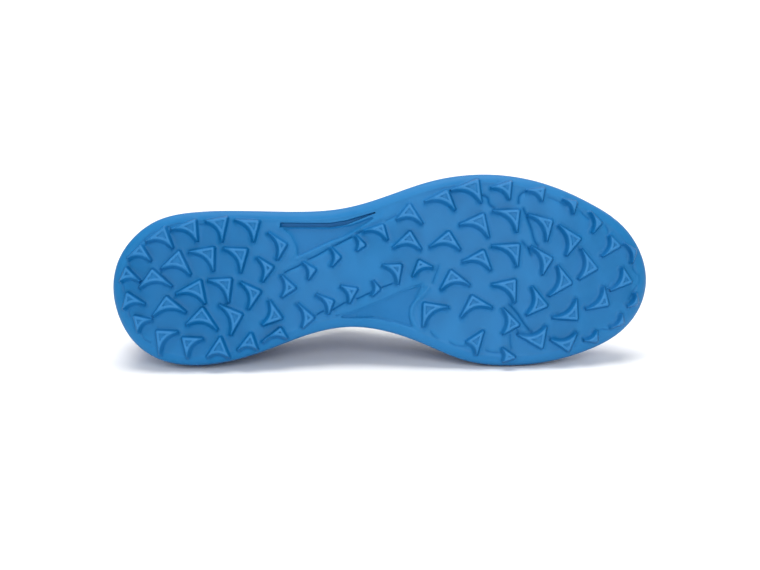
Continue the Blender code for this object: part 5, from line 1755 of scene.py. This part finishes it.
# %% Sew the seams
STITCH_SPACING = 0.0030
STITCH_LENGTH = 0.0021
STITCH_RADIUS = 0.00030
Seam = namedtuple("Seam", "start end line shift")
SEAMS = (
    Seam(0.012, 0.988, "guard", -0.028),
    Seam(0.012, 0.988, "guard", -0.050),
    Seam(0.410, FACING_END - 0.008, "facing", 0.022),
    Seam(0.460, 0.712, "top", -0.030),
    Seam(0.010, 0.375, "collar", -0.055),
)


def outer_point(side, way, up):
    """Point on the outside of the dressed upper, and the direction out of it."""
    place = last_surface(side, way, up)
    ahead = last_surface(side, way + 0.002, up) - last_surface(side, way - 0.002, up)
    above = last_surface(side, way, up + 0.004) - last_surface(side, way, up - 0.004)
    normal = unit(np.cross(ahead, above)) * -side
    depth = OVERLAY * (1 - panel_share(way, up)) + crease_depth(side, way, up) * smooth(up / 0.12)
    return place - normal * np.asarray(depth)[..., None], normal


def round_the_eyestay(seam):
    """Ways and heights of the seam inside the eyestay's edge, which turns round in front."""
    corner = FACING_END - FACING_BEND
    level = np.linspace(seam.start, corner, 40)
    turn = np.linspace(0, np.pi / 2, 24)[1:]
    low = 1 - FACING_LINE - seam.shift
    ways = np.concatenate([level, corner + (seam.end - corner) * np.sin(turn)])
    return ways, 1 - low * np.concatenate([np.ones(len(level)), np.cos(turn)])


def seam_points(side, seam):
    ways = np.linspace(seam.start, seam.end, round((seam.end - seam.start) * 160))
    height = (guard_line(ways) if seam.line == "guard" else np.ones(len(ways))) + seam.shift
    if seam.line == "facing":
        ways, height = round_the_eyestay(seam)
    place, normal = outer_point(side, ways, np.minimum(height, 0.985))
    return place + normal * STITCH_RADIUS * 0.45


def seam_guide():
    curve = bpy.data.curves.new("seam_guide", "CURVE")
    curve.dimensions = "3D"
    for side in (LATERAL, MEDIAL):
        for seam in SEAMS:
            points = seam_points(side, seam)
            spline = curve.splines.new("POLY")
            spline.points.add(len(points) - 1)
            for target, place in zip(spline.points, points):
                target.co = (*(LAY @ Vector(place)), 1.0)
    return link("seam_guide", curve)


def stitch_tree(material):
    """Geometry Nodes: resample the guide, set a bead at each point, turned along the seam."""
    tree = bpy.data.node_groups.new("stitches", "GeometryNodeTree")
    tree.interface.new_socket("Geometry", in_out="INPUT", socket_type="NodeSocketGeometry")
    for name, value in (("Spacing", STITCH_SPACING), ("Length", STITCH_LENGTH), ("Radius", STITCH_RADIUS)):
        socket = tree.interface.new_socket(name, in_out="INPUT", socket_type="NodeSocketFloat")
        socket.default_value = value
    tree.interface.new_socket("Geometry", in_out="OUTPUT", socket_type="NodeSocketGeometry")
    given = tree.nodes.new("NodeGroupInput").outputs
    points = node(tree, "GeometryNodeCurveToPoints", {"Curve": given["Geometry"], "Length": given["Spacing"]},
                  mode="LENGTH")
    bead = node(tree, "GeometryNodeMeshIcoSphere", {"Radius": 1.0, "Subdivisions": 2})
    smooth_bead = node(tree, "GeometryNodeSetShadeSmooth", {"Geometry": bead.outputs["Mesh"]})
    half = node(tree, "ShaderNodeMath", {0: given["Length"], 1: 0.5}, operation="MULTIPLY")
    size = node(tree, "ShaderNodeCombineXYZ", {"X": given["Radius"], "Y": given["Radius"],
                                               "Z": half.outputs["Value"]})
    turned = node(tree, "FunctionNodeAlignRotationToVector", {"Vector": points.outputs["Tangent"]}, axis="Z")
    placed = node(tree, "GeometryNodeInstanceOnPoints", {
        "Points": points.outputs["Points"], "Instance": smooth_bead.outputs["Geometry"],
        "Rotation": turned.outputs["Rotation"], "Scale": size.outputs["Vector"]})
    real = node(tree, "GeometryNodeRealizeInstances", {"Geometry": placed.outputs["Instances"]})
    dressed = node(tree, "GeometryNodeSetMaterial",
                   {"Geometry": real.outputs["Geometry"], "Material": material})
    result = tree.nodes.new("NodeGroupOutput")
    tree.links.new(dressed.outputs["Geometry"], result.inputs["Geometry"])
    return tree


def sew(material):
    guide = seam_guide()
    tree = stitch_tree(material)
    modifier = guide.modifiers.new("stitches", "NODES")
    modifier.node_group = tree
    for item in tree.interface.items_tree:
        if item.in_out == "INPUT" and item.name == "Spacing":
            modifier[item.identifier] = STITCH_SPACING
    mesh = bpy.data.meshes.new_from_object(guide.evaluated_get(bpy.context.evaluated_depsgraph_get()))
    guide.modifiers.clear()
    bpy.data.objects.remove(guide)
    mesh.name = "stitches"
    return link("stitches", mesh)


thread = plain_material("light blue thread", (0.060, 0.210, 0.520), 0.7)
stitches = sew(thread)
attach(stitches, "root")
print("stitches:", len(stitches.data.polygons), "faces")
